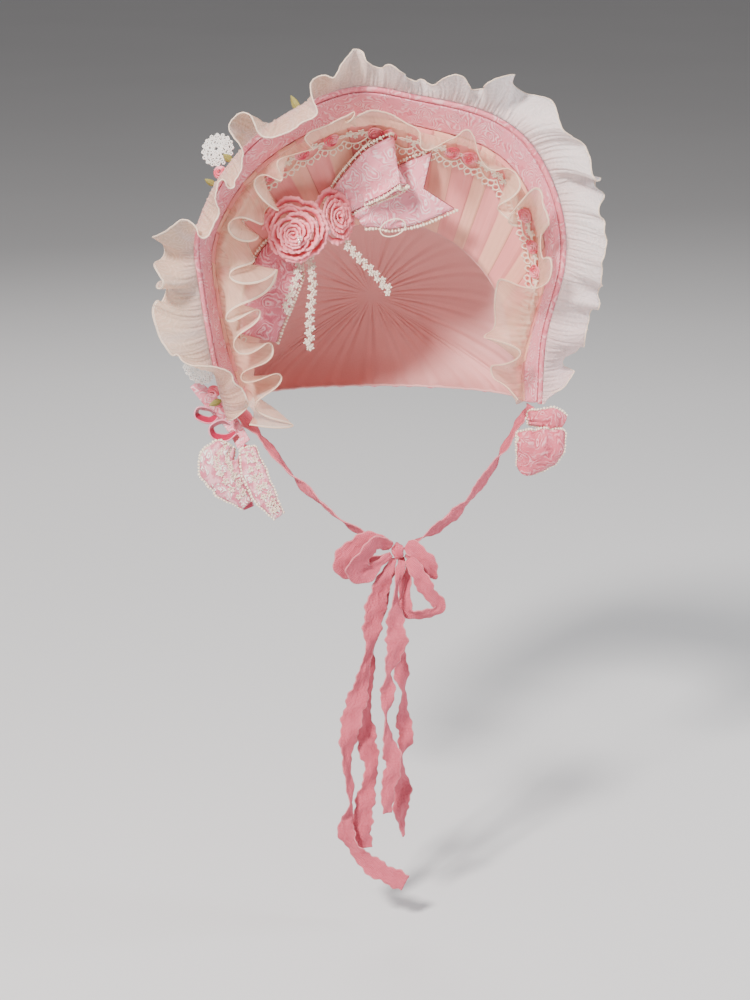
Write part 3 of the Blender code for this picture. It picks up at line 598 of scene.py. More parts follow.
def ruffle_grid(folds, seat, lines, rows, swell, least=-400.0, by_lean=False):
    """A gathered strip. Each line leaves its seam at the seam's rest angle and bends to its fold's lean."""
    ts = np.linspace(-1, 1, lines)
    shape = np.array([smooth_row(folds, t) for t in ts])
    shape[:, 1] = np.maximum(shape[:, 1], least)
    shape = np.array([softened(column, lines // 220) for column in shape.T]).T
    if by_lean:
        shift = swelled(shape[:, 1], 38.0) * swell
    else:
        shift = swelled(shape[:, 0] * np.cos(np.radians(shape[:, 1])), 11.0) * swell
    shift = softened(shift * np.clip((1 - abs(ts)) / 0.06, 0, 1), lines // 160)
    grid = []
    for t, (reach, lean, sway), extra in zip(ts, shape, shift):
        point, out, inward, along, rest, ease = seat(t)
        line = [point]
        for k in range(rows):
            bend = ease + (1 - ease) * min(1.0, 1.3 * (k + 0.5) / rows)
            angle = math.radians(rest + (lean - rest) * bend)
            step = math.cos(angle) * out + math.sin(angle) * inward
            point = point + step * reach * MM / rows
            line.append(point + along * (sway * MM + extra) * ((k + 1) / rows) ** 2)
        grid.append(line)
    return np.array(grid)


def gathered(grid, pitches, at_seam, at_hem, seed, long_pitches=(20 * MM,), long_size=0.0):
    """The grid with fine gathers that die away from the seam, and long waves that grow towards the hem."""
    normals = normals_of(grid)
    seam = run_of(grid[:, 1])
    share = np.linspace(0, 1, grid.shape[1])
    drift = ripple(seam, (31 * MM, 47 * MM), seed + 1)
    waves = np.array([ripple(seam + drift * s * 1.5 * MM, pitches, seed) for s in share]).T
    size = (at_seam * (1 - share) + at_hem * share) * np.minimum(1, share / 0.08)
    long_waves = ripple(seam, long_pitches, seed + 2)[:, None] * (long_size * share ** 1.6)
    return grid + normals * (waves * size + long_waves)[:, :, None]


def outer_seat(t):
    out, inward, along = axes_at(t, NEAR_EDGE)
    point = on_brim(t, 1.0) + out * (2 * PIPING_RADIUS + CLEAR) - inward * 0.5 * MM
    return point, out, inward, along, 0, 0.6


def growth(name, kinds, shape):
    """A Geometry Nodes tree. The edges of a mesh become curves, then a shape, then real cloth."""
    tree = bpy.data.node_groups.new(name, "GeometryNodeTree")
    kinds = {"Geometry": "Geometry", **kinds, "Cloth": "Material"}
    for label, kind in kinds.items():
        tree.interface.new_socket(label, in_out="INPUT", socket_type="NodeSocket" + kind)
    tree.interface.new_socket("Geometry", in_out="OUTPUT", socket_type="NodeSocketGeometry")
    nodes = Nodes(tree)
    given = {label: nodes.add("NodeGroupInput", output=label) for label in kinds}
    made = shape(nodes, nodes.add("GeometryNodeMeshToCurve", inputs={0: given["Geometry"]}), given)
    made = nodes.add("GeometryNodeSetShadeSmooth", inputs={0: made})
    made = nodes.add("GeometryNodeRealizeInstances", inputs={0: made})
    made = nodes.add("GeometryNodeSetMaterial", inputs={0: made, "Material": given["Cloth"]})
    tree.links.new(made.socket, tree.nodes.new("NodeGroupOutput").inputs[0])
    return tree


def round_thread(nodes, path, given):
    """Thread along a path. Its inputs are the thickness and the number of sides."""
    ring = nodes.add("GeometryNodeCurvePrimitiveCircle", inputs={
        "Radius": given["Radius"], "Resolution": given["Sides"]})
    return nodes.add("GeometryNodeCurveToMesh", inputs={
        "Curve": path, "Profile Curve": ring, "Fill Caps": True})


THREAD = growth("Thread", {"Radius": "Float", "Sides": "Int"}, round_thread)


def grown(name, vertices, edges, tree, settings, material, slot):
    """Runs a Geometry Nodes tree on some edges or points and keeps the plain mesh that it makes."""
    start = bpy.data.meshes.new(name + "_path")
    start.from_pydata([tuple(p) for p in vertices], edges, [])
    helper = bpy.data.objects.new(name + "_path", start)
    bpy.context.scene.collection.objects.link(helper)
    modifier = helper.modifiers.new("Grow", "NODES")
    modifier.node_group = tree
    for item in tree.interface.items_tree:
        if item.in_out == "INPUT" and item.name in settings:
            modifier[item.identifier] = settings[item.name]
    bpy.context.view_layer.update()
    mesh = bpy.data.meshes.new_from_object(helper.evaluated_get(bpy.context.evaluated_depsgraph_get()))
    helper.modifiers.remove(modifier)
    bpy.data.objects.remove(helper)
    bpy.data.meshes.remove(start)
    mesh.name = name
    mesh.materials.clear()
    mesh.materials.append(material)
    return piece(name, mesh, slot)


def joined_paths(paths):
    """Vertices and edges of several paths. A path that ends where it began is closed."""
    vertices, edges = [], []
    for path in paths:
        first = len(vertices)
        loop = np.linalg.norm(np.subtract(path[0], path[-1])) < 1e-7
        points = path[:-1] if loop else path
        vertices += [tuple(p) for p in points]
        edges += [(first + k, first + k + 1) for k in range(len(points) - 1)]
        if loop:
            edges.append((first + len(points) - 1, first))
    return vertices, edges


def thread(name, paths, radius, material, slot, sides=6):
    settings = {"Radius": radius, "Sides": sides, "Cloth": material}
    return grown(name, *joined_paths(paths), THREAD, settings, material, slot)


def thread_finish(name, light, dark, roughness=0.85, pitch=900.0):
    """Twisted cotton or silk thread."""
    made = Recipe(name, roughness=roughness, sheen=0.08, subsurface=0.1, specular=0.3)
    grain = made.noise(made.place(), pitch, detail=2.0)
    tone = made.noise(made.place(), 60, detail=1.0)
    colour = made.layers(dark, (grain * 0.6 + tone * 0.4, light))
    return made.finish(colour=colour, height=grain, depth=0.0003, strength=0.6)


crepe = Recipe("crepe", roughness=0.72, sheen=0.08, subsurface=0.12, specular=0.25)
crepe_side = crepe.step(crepe.place(0), -0.09, 0.03)
# Painted shade for the lower part of the ruffle, used on its right side only.
crepe_low_shade = crepe.step(crepe.place(2) * -1.0, 0.0, 0.12)
crepe_lines = crepe.grain(700, 90, detail=4.0, rough=0.65)
crepe_fine = crepe.grain(1500, 1100, detail=1.0)
# Streaks along the cloth: relief in the bump, and painted shade in the colour, standing in for the shade of
# the folds.
crepe_streaks_relief_and_shade = crepe.grain(75, 14, detail=2.0)
crepe_cells = crepe.add("ShaderNodeTexVoronoi", {"voronoi_dimensions": "2D"},
                        {"Vector": crepe.map_of("Cloth"), "Scale": 70})
crepe_scrolls = (crepe_cells * 26.0 + crepe.noise(crepe.map_of("Cloth"), 180) * 6.0).sine()
crepe_flowers = crepe.step(crepe_scrolls, 0.2, 0.7)
crepe_hem = crepe.step(crepe.map_of("Share", 1), 0.968, 0.98)
# Painted shade: the crepe darker and pinker towards its seam at the brim.
crepe_seam_shade = crepe.step(1.0 - crepe.map_of("Share", 1), 0.45, 1.0)
crepe_colour = crepe.layers(
    (0.90, 0.56, 0.37),
    # Partly the crepe's own colour and partly painted light: creamier on the left, and whiter on the right,
    # where the cool light from that side is painted in.
    (crepe_side, (0.92, 0.79, 0.78)),
    # Painted shade: the lower right of the ruffle darker and pinker.
    (crepe_side * crepe_low_shade * 0.55, (0.82, 0.44, 0.45)),
    (crepe_seam_shade * 0.45, (0.80, 0.46, 0.45)),
    # Painted shade in random streaks.
    (crepe.step(crepe_streaks_relief_and_shade, 0.45, 0.75) * 0.5, (0.78, 0.60, 0.59)),
    (crepe_lines * 0.30 + crepe_flowers * 0.1, (0.95, 0.86, 0.80)),
    (crepe_hem * 0.7, (0.93, 0.82, 0.73)),
)
crepe_alpha = 0.34 + crepe_side * 0.28 + crepe_lines * 0.26 + crepe_flowers * 0.08 + crepe_hem * 0.4
crepe_cloth = crepe.finish(colour=crepe_colour, alpha=crepe_alpha.capped(), depth=0.0011, strength=0.7,
                           height=crepe_lines + crepe_fine * 0.3 + crepe_flowers * 0.4 + crepe_streaks_relief_and_shade * 1.5)
outer_grid = ruffle_grid(OUTER_FOLDS, outer_seat, 1100, 14, 6 * MM)
outer_grid = gathered(outer_grid, (2.9 * MM, 4.3 * MM, 7.1 * MM), 1.1 * MM, 0.3 * MM, seed=11,
                      long_pitches=(13 * MM, 19 * MM, 29 * MM), long_size=3.0 * MM)
outer_ruffle_cloth = cloth("outer_ruffle_crepe", outer_grid, RUFFLE_WALL, crepe_cloth, "crepe")
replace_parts(outer_ruffle_cloth, "outer_ruffle")
crepe_thread = thread_finish("crepe_hem_thread", (0.92, 0.72, 0.57), (0.78, 0.57, 0.43))
outer_hem = thread("outer_ruffle_hem", [outer_grid[:, -1]], 0.5 * MM, crepe_thread, "crepe")
declare(outer_ruffle_cloth, outer_grid, "gathered", [piping], with_pieces=[outer_hem])

# The inner ruffle. Sheer cream organza with a rolled hem, gathered by its middle on to the lining inside
# the band and tumbling over both.
INNER_FOLDS = (
    # t, reach, lean, sway
    (-1.00, 44, 20, 1), (-0.965, 36, 80, -17), (-0.94, 36, 25, -3), (-0.905, 29, 85, 3),
    (-0.86, 34, 20, 2), (-0.81, 28, 85, 1), (-0.755, 28, 20, -9), (-0.71, 29, 60, -1),
    (-0.655, 28, 20, -15), (-0.59, 42, 140, -4), (-0.54, 36, 35, -12), (-0.50, 29, 190, -3),
    (-0.43, 28, 20, -13), (-0.37, 28, 190, -5), (-0.33, 34, 20, -10), (-0.275, 28, 70, -5),
    (-0.245, 37, 20, -11), (-0.20, 28, 50, 5), (-0.175, 44, 20, -8), (-0.12, 44, 20, 0),
    (-0.085, 44, 15, -1), (-0.066, 44, 15, 0), (-0.05, 36, 30, -14), (-0.01, 39, 15, -9),
    (0.045, 36, 15, -8), (0.09, 36, 30, -2), (0.125, 35, 60, -4), (0.165, 36, 35, 1),
    (0.225, 44, 15, -5), (0.27, 34, 40, -6), (0.30, 31, 60, 2), (0.345, 37, 35, 6), (0.37, 37, 45, 11),
    (0.405, 32, 110, 6), (0.445, 35, 70, 16), (0.46, 37, 55, 3), (0.495, 44, 15, -15),
    (0.525, 44, 15, -13), (0.545, 44, 15, -15), (0.57, 44, 15, -11), (0.60, 30, 20, -18),
    (0.635, 34, 30, -7), (0.66, 44, 15, -16), (0.685, 44, 15, -9), (0.735, 28, 80, -17),
    (0.785, 28, 180, 8), (0.835, 28, 70, -10), (0.865, 38, 15, -15), (0.90, 28, 50, -11),
    (1.00, 33, 30, -9),
)
INNER_RUFFLE_INSET = 30 * MM
ORGANZA_THREADS = 9000


def inner_seat(t):
    v = part_of_width(t, INNER_RUFFLE_INSET, most=0.74)
    out, inward, along = axes_at(t, v)
    lift = BRIM_WALL / 2 + 2 * CLEAR + LINING_WALL + PLEAT_RISE + RUFFLE_WALL / 2
    return on_brim(t, v, lift), out, inward, along, 90, 0.35


organza = Recipe("organza", roughness=0.5, sheen=0.08, subsurface=0.08, specular=0.4,
                 sheen_tint=(1, 0.95, 0.9))
organza_lines = organza.grain(420, 60)
organza_weave = organza.threads(0, ORGANZA_THREADS) * organza.threads(1, ORGANZA_THREADS)
organza_hem = organza.step(organza.map_of("Share", 1), 0.968, 0.976)
organza_colour = organza.layers((0.88, 0.56, 0.40), (organza_lines * 0.5, (0.94, 0.70, 0.54)),
                                (organza_hem, (0.90, 0.76, 0.62)))
organza_alpha = 0.23 + organza_lines * 0.26 + organza_hem * 0.45
organza_cloth = organza.finish(colour=organza_colour, alpha=organza_alpha,
                               height=organza_lines * 0.8 + organza_weave * 0.1, depth=0.0004, strength=0.5)
fuller_folds = [(t, reach + 7 * (lean > 45), lean + 30 * (45 < lean < 120), 1.3 * sway) if abs(t + 0.05) > 0.5
                else (t, reach, lean, 1.2 * sway) for t, reach, lean, sway in INNER_FOLDS]
inner_grid = ruffle_grid(fuller_folds, inner_seat, 1000, 16, 7 * MM, least=12, by_lean=True)
inner_grid = gathered(inner_grid, (5.1 * MM, 8.3 * MM), 0.6 * MM, 0.1 * MM, seed=23,
                      long_pitches=(16 * MM, 23 * MM), long_size=1.2 * MM)
inner_ruffle_cloth = cloth("inner_ruffle_organza", inner_grid, RUFFLE_WALL, organza_cloth, "organza")
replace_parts(inner_ruffle_cloth, "inner_ruffle")
organza_thread = thread_finish("organza_hem_thread", (0.93, 0.68, 0.49), (0.80, 0.50, 0.35))
inner_hem = thread("inner_ruffle_hem", [inner_grid[:, -1]], 0.42 * MM, organza_thread, "organza")
declare(inner_ruffle_cloth, inner_grid, "gathered", [lining], with_pieces=[inner_hem])

# The rose braid. Ivory guipure lace sewn over the ends of the lining: a corded heading with blossoms
# between its rosebuds, and a scalloped edge of thread loops towards the inner seam.
LACE_END = 0.80
LACE_SCALLOPS = 25
LACE_LIFT = BRIM_WALL / 2 + 3 * CLEAR + LINING_WALL + PLEAT_RISE + 0.9 * MM
ROSEBUDS = (-0.62, -0.475, -0.385, -0.31, -0.205, -0.125, -0.01, 0.03, 0.20, 0.25, 0.49, 0.575, 0.645)
ROSEBUD_INSET = 40 * MM
LOOPS_PER_SCALLOP = 3
PETALS = 5
LOOP_RADIUS = 2.9 * MM
SCALLOP_INSET = 45.0
SCALLOP_DEPTH = 5.5
HEADING_INSET = 40.5
BRAID_BLOSSOMS = (
    # step along the braid, inset, stray, lift, radius, points to a petal
    (0, 39.5, 0.8, 0.5, 3.3, 8),
    (0.014, 43.5, 0.5, 0, 1.9, 6),
)
guipure = thread_finish("guipure_thread", (0.98, 0.88, 0.73), (0.90, 0.70, 0.52))


def braid_frame(t, inset):
    v = part_of_width(t, inset, most=0.93)
    out, inward, along = axes_at(t, v)
    return on_brim(t, v, LACE_LIFT), out, inward, along


def ring_path(centre, across, up, radius, points=12, squash=1.0):
    angles = np.linspace(0, 2 * math.pi, points + 1)
    path = [centre + across * math.cos(a) * radius * squash + up * math.sin(a) * radius for a in angles]
    path[-1] = path[0]
    return path


def blossom_path(centre, across, up, facing, radius, start, points):
    """The outline of a small flower, which dips at its heart between the petals."""
    path = []
    for k in range(PETALS * points):
        a = 2 * math.pi * k / (PETALS * points)
        r = radius * (0.62 + 0.38 * math.cos(PETALS * a))
        path.append(centre + toward(across, up, a + start) * r + facing * (r - radius) * 0.25)
    return path + path[:1]


def scallop_frame(start, end, part):
    inset = (SCALLOP_INSET + SCALLOP_DEPTH * math.sin(math.pi * part) ** 0.8) * MM
    return braid_frame(start + (end - start) * part, inset)


braid_paths, blossom_paths = [], []
scallop_ends = [LACE_END * (2 * k / LACE_SCALLOPS - 1) for k in range(LACE_SCALLOPS + 1)]
for start, end in zip(scallop_ends, scallop_ends[1:]):
    braid_paths.append([scallop_frame(start, end, part)[0] for part in np.linspace(0, 1, 13)])
    for k in range(LOOPS_PER_SCALLOP):
        centre, out, _, along = scallop_frame(start, end, (k + 0.5) / LOOPS_PER_SCALLOP)
        braid_paths.append(ring_path(centre - out * LOOP_RADIUS, along, out, LOOP_RADIUS, squash=0.84))
        blossom_paths.append(ring_path(centre - out * 6.2 * MM, along, out, 0.6 * MM, points=6))
for side in (0, 1):
    heading = []
    for k, t in enumerate(np.linspace(-LACE_END, LACE_END, 541)):
        sway = math.sin(2 * math.pi * k / 12 + side * math.pi)
        heading.append(braid_frame(t, (HEADING_INSET + 1.1 * sway) * MM)[0])
    braid_paths.append(heading)
braid_dice = random.Random(9)
for t in np.arange(-LACE_END + 0.01, LACE_END, 0.031):
    if min(abs(t - bud) for bud in ROSEBUDS) > 0.018:
        for step, inset, stray, lift, radius, points in BRAID_BLOSSOMS:
            inset += braid_dice.uniform(-stray, stray)
            centre, out, inward, along = braid_frame(t + step, inset * MM)
            blossom_paths.append(blossom_path(centre + inward * lift * MM, along, out, inward, radius * MM,
                                              start=braid_dice.uniform(0, 6.28), points=points))
rose_braid = thread("rose_braid", braid_paths, 0.5 * MM, guipure, "ivory_lace", sides=5)
thread("braid_blossoms", blossom_paths, 0.4 * MM, guipure, "ivory_lace", sides=4)
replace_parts(rose_braid, "rose_lace")

# The rosebuds on the braid. Each is a length of deep pink gimp coiled on itself and stitched down.
BUD_TURNS = 3.4
gimp = Recipe("rosebud_gimp", roughness=0.7, sheen=0.08, subsurface=0.08, sheen_tint=(1, 0.7, 0.75))
gimp_tone = gimp.step(gimp.noise(gimp.place(), 140, detail=1.0), 0.35, 0.65)
gimp_cloth = gimp.finish(colour=gimp.layers((0.72, 0.08, 0.13), (gimp_tone, (0.96, 0.38, 0.43))),
                         height=gimp.noise(gimp.place(), 700), depth=0.0004)
bud_paths = []
for t in ROSEBUDS:
    centre, out, inward, along = braid_frame(t, ROSEBUD_INSET)
    path = []
    for s in np.linspace(0, 1, 60):
        angle = t * 50 + s * 2 * math.pi * BUD_TURNS
        radius = 6.1 - 5.4 * s + 0.28 * math.sin(angle * 3.3)
        lift = 1.0 + 1.2 * s + 0.3 * math.sin(angle * 2.3)
        path.append(centre + (toward(along, out, angle) * radius + inward * lift) * MM)
    bud_paths.append(path)
rosebuds = thread("lace_rosebuds", bud_paths, 0.62 * MM, gimp_cloth, "rosebud_gimp", sides=7)
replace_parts(rosebuds, *[f"lace_rosebud_{k + 1:02d}" for k in range(len(ROSEBUDS))])

# The crown. A soft bag of jacquard behind the brim, gathered into its seam and drawn up to one point at
# the back.
CROWN_DEPTH = 125 * MM
CROWN_WALL = 1.4 * MM
CROWN_PUFF = 0.10
NAPE_DEPTH = 80 * MM
NAPE_DROP = 8 * MM
CROWN_LINES = 420
NAPE_LINES = 150
CROWN_ROWS = 34
rim = []
for t in np.linspace(-1, 1, CROWN_LINES + 1):
    out, _, _ = axes_at(t, 0.02)
    rim.append(on_brim(t, 0.0) - out * (CROWN_WALL / 2 + CLEAR))
right, left = rim[-1], rim[0]
for k in range(1, NAPE_LINES):
    angle = math.pi * k / NAPE_LINES
    share = (1 - math.cos(angle)) / 2
    rim.append(right * (1 - share) + left * share
               + np.array([0, NAPE_DEPTH * math.sin(angle), -NAPE_DROP * math.sin(angle)]))
rim = np.array(rim)
crown_grid = []
for front in rim:
    arm = np.array([front[0], 0, front[2] - HOLLOW_CENTRE_Z])
    line = [front]
    for m in range(1, CROWN_ROWS):
        angle = math.pi / 2 * m / CROWN_ROWS
        shrink = math.cos(angle) ** 0.8 * (1 + CROWN_PUFF * math.sin(2 * angle))
        back = front[1] + (CROWN_DEPTH - front[1]) * math.sin(angle)
        line.append(arm * shrink + np.array([0, back, HOLLOW_CENTRE_Z]))
    crown_grid.append(line)
crown_grid = np.array(crown_grid)
crown_normals = normals_of(crown_grid)
seam_length = run_of(rim)
place = seam_length / (seam_length[-1] + np.linalg.norm(rim[0] - rim[-1])) * 2 * math.pi
for m in range(1, CROWN_ROWS):
    share = m / CROWN_ROWS
    waves = (np.sin(place * 46 + 0.7 * np.sin(place * 5)) + 0.6 * np.sin(place * 71 + 2 * share)
             + 0.5 * np.sin(place * 29 + 1.5)) / 2.1
    size = 1.5 * MM * (0.35 + 0.65 * abs(2 * share - 0.9)) * min(1, (CROWN_ROWS - m) / 4)
    crown_grid[:, m] += crown_normals[:, m] * (waves * size)[:, None]
crown_pole = np.array([0, CROWN_DEPTH, HOLLOW_CENTRE_Z])
crown_silk = jacquard("crown_jacquard", PINK_GROUND, PINK_FIGURE, PINK_DEEP, motif=26)
cotton = Recipe("crown_cotton", roughness=0.8, sheen=0.08, specular=0.2)
cotton_weave = cotton.grain(900, 900, detail=2.0)
cotton_colour = cotton.layers((0.72, 0.33, 0.32), (cotton_weave, (0.82, 0.46, 0.43)))
cotton_cloth = cotton.finish(colour=cotton_colour, height=cotton_weave, depth=0.0003)
crown_bag = cloth("crown_bag", crown_grid, CROWN_WALL, cotton_cloth, "jacquard", closed=True, pole=crown_pole)
crown_bag.data.materials.append(crown_silk)
crown_bag.modifiers[0].material_offset = 1
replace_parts(crown_bag, "crown")
declare(crown_bag, crown_grid, "gathered", [brim_shell], closed=True)

# The main bow over the left temple. Jacquard on a stiff backing: one loop, two tails and a hidden knot,
# with a burgundy cord in each edge, a picot of ivory knots on a thread ladder outside it, and one small
# hanging loop of ivory cord beside it.
RIBBON_WALL = 1.0 * MM
NOTCH_SHARE = 0.35
PICOT_REACH = 2.7 * MM
PICOT_RADIUS = 1.25 * MM


def ribbon_rows(rows, steps):
    table = [(k, *row) for k, row in enumerate(rows)]
    count = (len(rows) - 1) * steps
    return np.array([smooth_row(table, k / steps) for k in range(count + 1)])


def ribbon_grid(rows, steps, across, first=None, seed=1, notch=0.0, cup=0.0, pinch=0.0, wave=0.0, frill=0.0):
    """A band of cloth through rows of x, y, z, width (mm) and turn (degrees). Pinch gathers its first end."""
    path = ribbon_rows(rows, steps)
    centres = path[:, :3] * MM
    tangents = unit(np.gradient(centres, axis=0))
    side = np.cross(tangents[0], (0, -1, 0)) if first is None else np.array(first, float)
    x = np.linspace(-1, 1, across + 1)
    dice = random.Random(seed)
    phases = [dice.uniform(0, 6.28) for _ in range(4)]
    run = run_of(centres) / MM
    grid = []
    for centre, tangent, at, width, turn in zip(centres, tangents, run, path[:, 3], np.radians(path[:, 4])):
        side = unit(side - tangent * (side @ tangent))
        wide = toward(side, np.cross(side, tangent), turn)
        deep = np.cross(wide, tangent)
        share = at / run[-1]
        frills = 0.6 * math.sin(at / 3.1 + phases[3]) + 0.4 * math.sin(at / 1.3 + phases[1])
        gathers = (1 - share) ** 2 * np.cos(x * 9 + phases[0]) * (0.4 + 0.6 * (1 - abs(x)))
        waves = np.sin(at / 9 + phases[1] + 1.3 * x) * abs(x) + 0.5 * np.sin(at / 4.3 + phases[2] - 2 * x)
        half = width / 2 * (1 + frill * frills)
        lift = cup * (1 - x * x) + pinch * gathers + wave * waves
        line = centre + (np.outer(x * half, wide) + np.outer(lift, deep)) * MM
        if notch:
            part = max(0.0, (share - (1 - NOTCH_SHARE)) / NOTCH_SHARE)
            line = line - np.outer(notch * MM * (1 - abs(x)) * part, tangent)
        grid.append(line)
    return np.array(grid)


def round_knots(nodes, path, given):
    """Small round knots along a path, some a little larger than others."""
    even = nodes.add("GeometryNodeResampleCurve", {"mode": "LENGTH"}, {
        "Curve": path, "Length": given["Spacing"]})
    knot = nodes.add("GeometryNodeMeshIcoSphere", inputs={"Radius": given["Radius"], "Subdivisions": 1})
    sizes = nodes.add("FunctionNodeRandomValue", inputs={2: 0.75, 3: 1.2, "Seed": given["Seed"]}, output=1)
    return nodes.add("GeometryNodeInstanceOnPoints", inputs={
        "Points": even, "Instance": knot, "Scale": sizes})


KNOTS = growth("Knots", {"Spacing": "Float", "Radius": "Float", "Seed": "Int"}, round_knots)


def knots(name, paths, spacing, radius, material, slot, seed):
    settings = {"Spacing": spacing, "Radius": radius, "Seed": seed, "Cloth": material}
    return grown(name, *joined_paths(paths), KNOTS, settings, material, slot)


def edge_of(grid, column, beyond=0.0):
    """The line along one side of a ribbon, or a little way beyond it in the ribbon's own plane."""
    inner = grid[:, 1] if column == 0 else grid[:, -2]
    edge = grid[:, column]
    return edge + unit(edge - inner) * beyond


def end_of(grid, row, beyond=0.0):
    inner = grid[1] if row == 0 else grid[-2]
    return grid[row] + unit(grid[row] - inner) * beyond


bow_silk = jacquard("bow_jacquard", (0.90, 0.32, 0.39), (1.0, 0.78, 0.80), (0.70, 0.12, 0.20),
                    motif=19, rings=40)
tail_silk = jacquard("tail_jacquard", (0.76, 0.20, 0.26), (0.95, 0.54, 0.58), (0.50, 0.06, 0.11),
                     motif=20, rings=38)
burgundy = thread_finish("burgundy_cord", (0.32, 0.03, 0.05), (0.16, 0.01, 0.02), roughness=0.6)
BOW_ROWS = {
    "bow_upper_loop": ((
        (-44, -23, 12, 14, 0), (-29, -31.5, 28, 28, 0), (-9, -53, 47, 40, 0), (1, -58, 55, 38, 0),
        (2, -53, 53, 35, 0), (-7, -44, 42, 30, 0), (-22, -33, 28, 18, 0)), {"pinch": 1.5, "wave": 0.4}),
    "bow_right_tail": ((
        (-25, -24, 8, 20, 0), (-12, -28.5, 17, 40, 0), (12, -36, 26, 47, 6), (40, -42, 38, 46, 10)),
        {"notch": 16, "cup": 2, "pinch": 1.8, "wave": 0.5}),
    "bow_left_tail": ((
        (-71, -17, -12, 18, 0), (-83, -25, -25, 36, 0), (-94, -31, -50, 38, 0), (-104, -35, -84, 30, 0)),
        {"cup": 3, "pinch": 2.6, "wave": 0.8}),
}
bow_edges, bow_picots, bow_rungs = [], [], []
for bow_name, (rows, how) in BOW_ROWS.items():
    bow_part_grid = ribbon_grid(rows, steps=14, across=20, **how)
    silk = tail_silk if "left" in bow_name else bow_silk
    bow_part = cloth(bow_name + "_silk", bow_part_grid, RIBBON_WALL, silk, "jacquard")
    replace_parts(bow_part, bow_name)
    declare(bow_part, bow_part_grid, "folded", ["bow_knot"])
    lines = [(edge_of(bow_part_grid, c), edge_of(bow_part_grid, c, PICOT_REACH)) for c in (0, -1)]
    if "notch" in how:
        lines.append((end_of(bow_part_grid, -1), None))
    for edge, picot in lines:
        bow_edges.append(edge)
        if picot is not None:
            bow_picots.append(picot)
            bow_rungs += [[edge[k], picot[k]] for k in range(0, len(edge), 3)]
thread("bow_edge_cord", bow_edges, 0.5 * MM, burgundy, "jacquard", sides=5)
thread("bow_picot_ladder", bow_rungs, 0.4 * MM, guipure, "ivory_lace", sides=5)
knots("bow_picot", bow_picots, 2.6 * MM, PICOT_RADIUS, guipure, "ivory_lace", seed=5)
LOOP_CENTRE = np.array([2.0, -36.0, 1.0]) * MM
hanging_loop = ring_path(LOOP_CENTRE, np.array([1.0, 0, 0.25]), np.array([-0.1, 0, 1.0]), 6.5 * MM,
                         points=20, squash=1.5)
thread("bow_loop_cord", [hanging_loop], 0.5 * MM, guipure, "ivory_lace")

# The two roses. A crinkled pink ribbon wound in a spiral from a tight heart, its free edge turned out,
# with clear drops sewn into the heart of the large one.
ROSE_HEART = 1.6
ROSE_LINES = 190
ROSE_WALL = 0.5 * MM
rose_finish = Recipe("rose_ribbon", roughness=0.6, sheen=0.1, subsurface=0.12, sheen_tint=(1, 0.8, 0.85))
rose_edge_highlight = rose_finish.map_of("Share", 1)
rose_crinkle = rose_finish.grain(520, 160)
rose_colour = rose_finish.layers(
    (0.84, 0.10, 0.15),
    # Painted highlight: the ribbon lighter towards its free edge and lightest along it.
    (rose_finish.step(rose_edge_highlight, 0.45, 0.95), (0.99, 0.34, 0.38)),
    (rose_finish.step(rose_edge_highlight, 0.93, 0.98) * 0.5, (0.99, 0.42, 0.45)),
    (rose_crinkle * 0.35, (0.98, 0.36, 0.40)),
)
rose_cloth = rose_finish.finish(colour=rose_colour, height=rose_crinkle, depth=0.0008, strength=0.8)


def rose(centre, axis, radius, rise, turns, seed, drift, stretch=1.0):
    """One ribbon wound inwards. Its free edge stands on a dome that is highest at the heart."""
    axis = unit(axis)
    across = unit(np.cross(axis, (0, 0, 1)))
    upward = np.cross(across, axis)
    dice = random.Random(seed)
    phases = [dice.uniform(0, 6.28) for _ in range(6)]
    samples = int(turns * ROSE_LINES)
    run = 0.0
    grid = []
    for s in np.linspace(0, 1, samples):
        angle = 2 * math.pi * turns * s
        size = 1 - s
        lobe = abs(math.sin(1.37 * angle + phases[0] + 0.9 * math.sin(0.31 * angle + phases[3]))) ** 0.55
        r = radius - (radius - ROSE_HEART) * s ** 0.82
        r *= 0.82 + 0.18 * lobe + 0.05 * math.sin(2.6 * angle + phases[1])
        run += 2 * math.pi * turns / samples * r
        dome = rise * max(0.0, 1 - (r / (radius * 1.02)) ** 2) ** 0.7 - 2.2 * (1 - lobe) * size
        frill = 0.6 * math.sin(run / 3.1 + phases[1]) + 0.5 * math.sin(run / 1.7 + phases[2])
        crinkle = (math.sin(run / 0.75 + phases[4])
                   + 0.7 * math.sin(run / 0.47 + phases[5] + 2 * math.sin(run / 5)))
        side = toward(across, upward, angle, stretch)
        middle = centre + (across * drift[0] + upward * drift[1]) * s ** 0.6
        line = []
        for part in np.linspace(0, 1, 9):
            out = r - 2.2 + (2.5 + 2.0 * size) * part ** 2.2
            out += (0.45 * frill + 0.22 * crinkle) * part ** 1.5 * (0.5 + size)
            high = dome - 6.5 * (1 - part) + 1.0 * math.sin(math.pi * part) - (0.6 + 1.1 * size) * part ** 5
            high = max(high + (0.5 * frill + 0.25 * crinkle) * part, 0.3)
            line.append((middle + side * out + axis * high) * MM)
        grid.append(line)
    return np.array(grid)


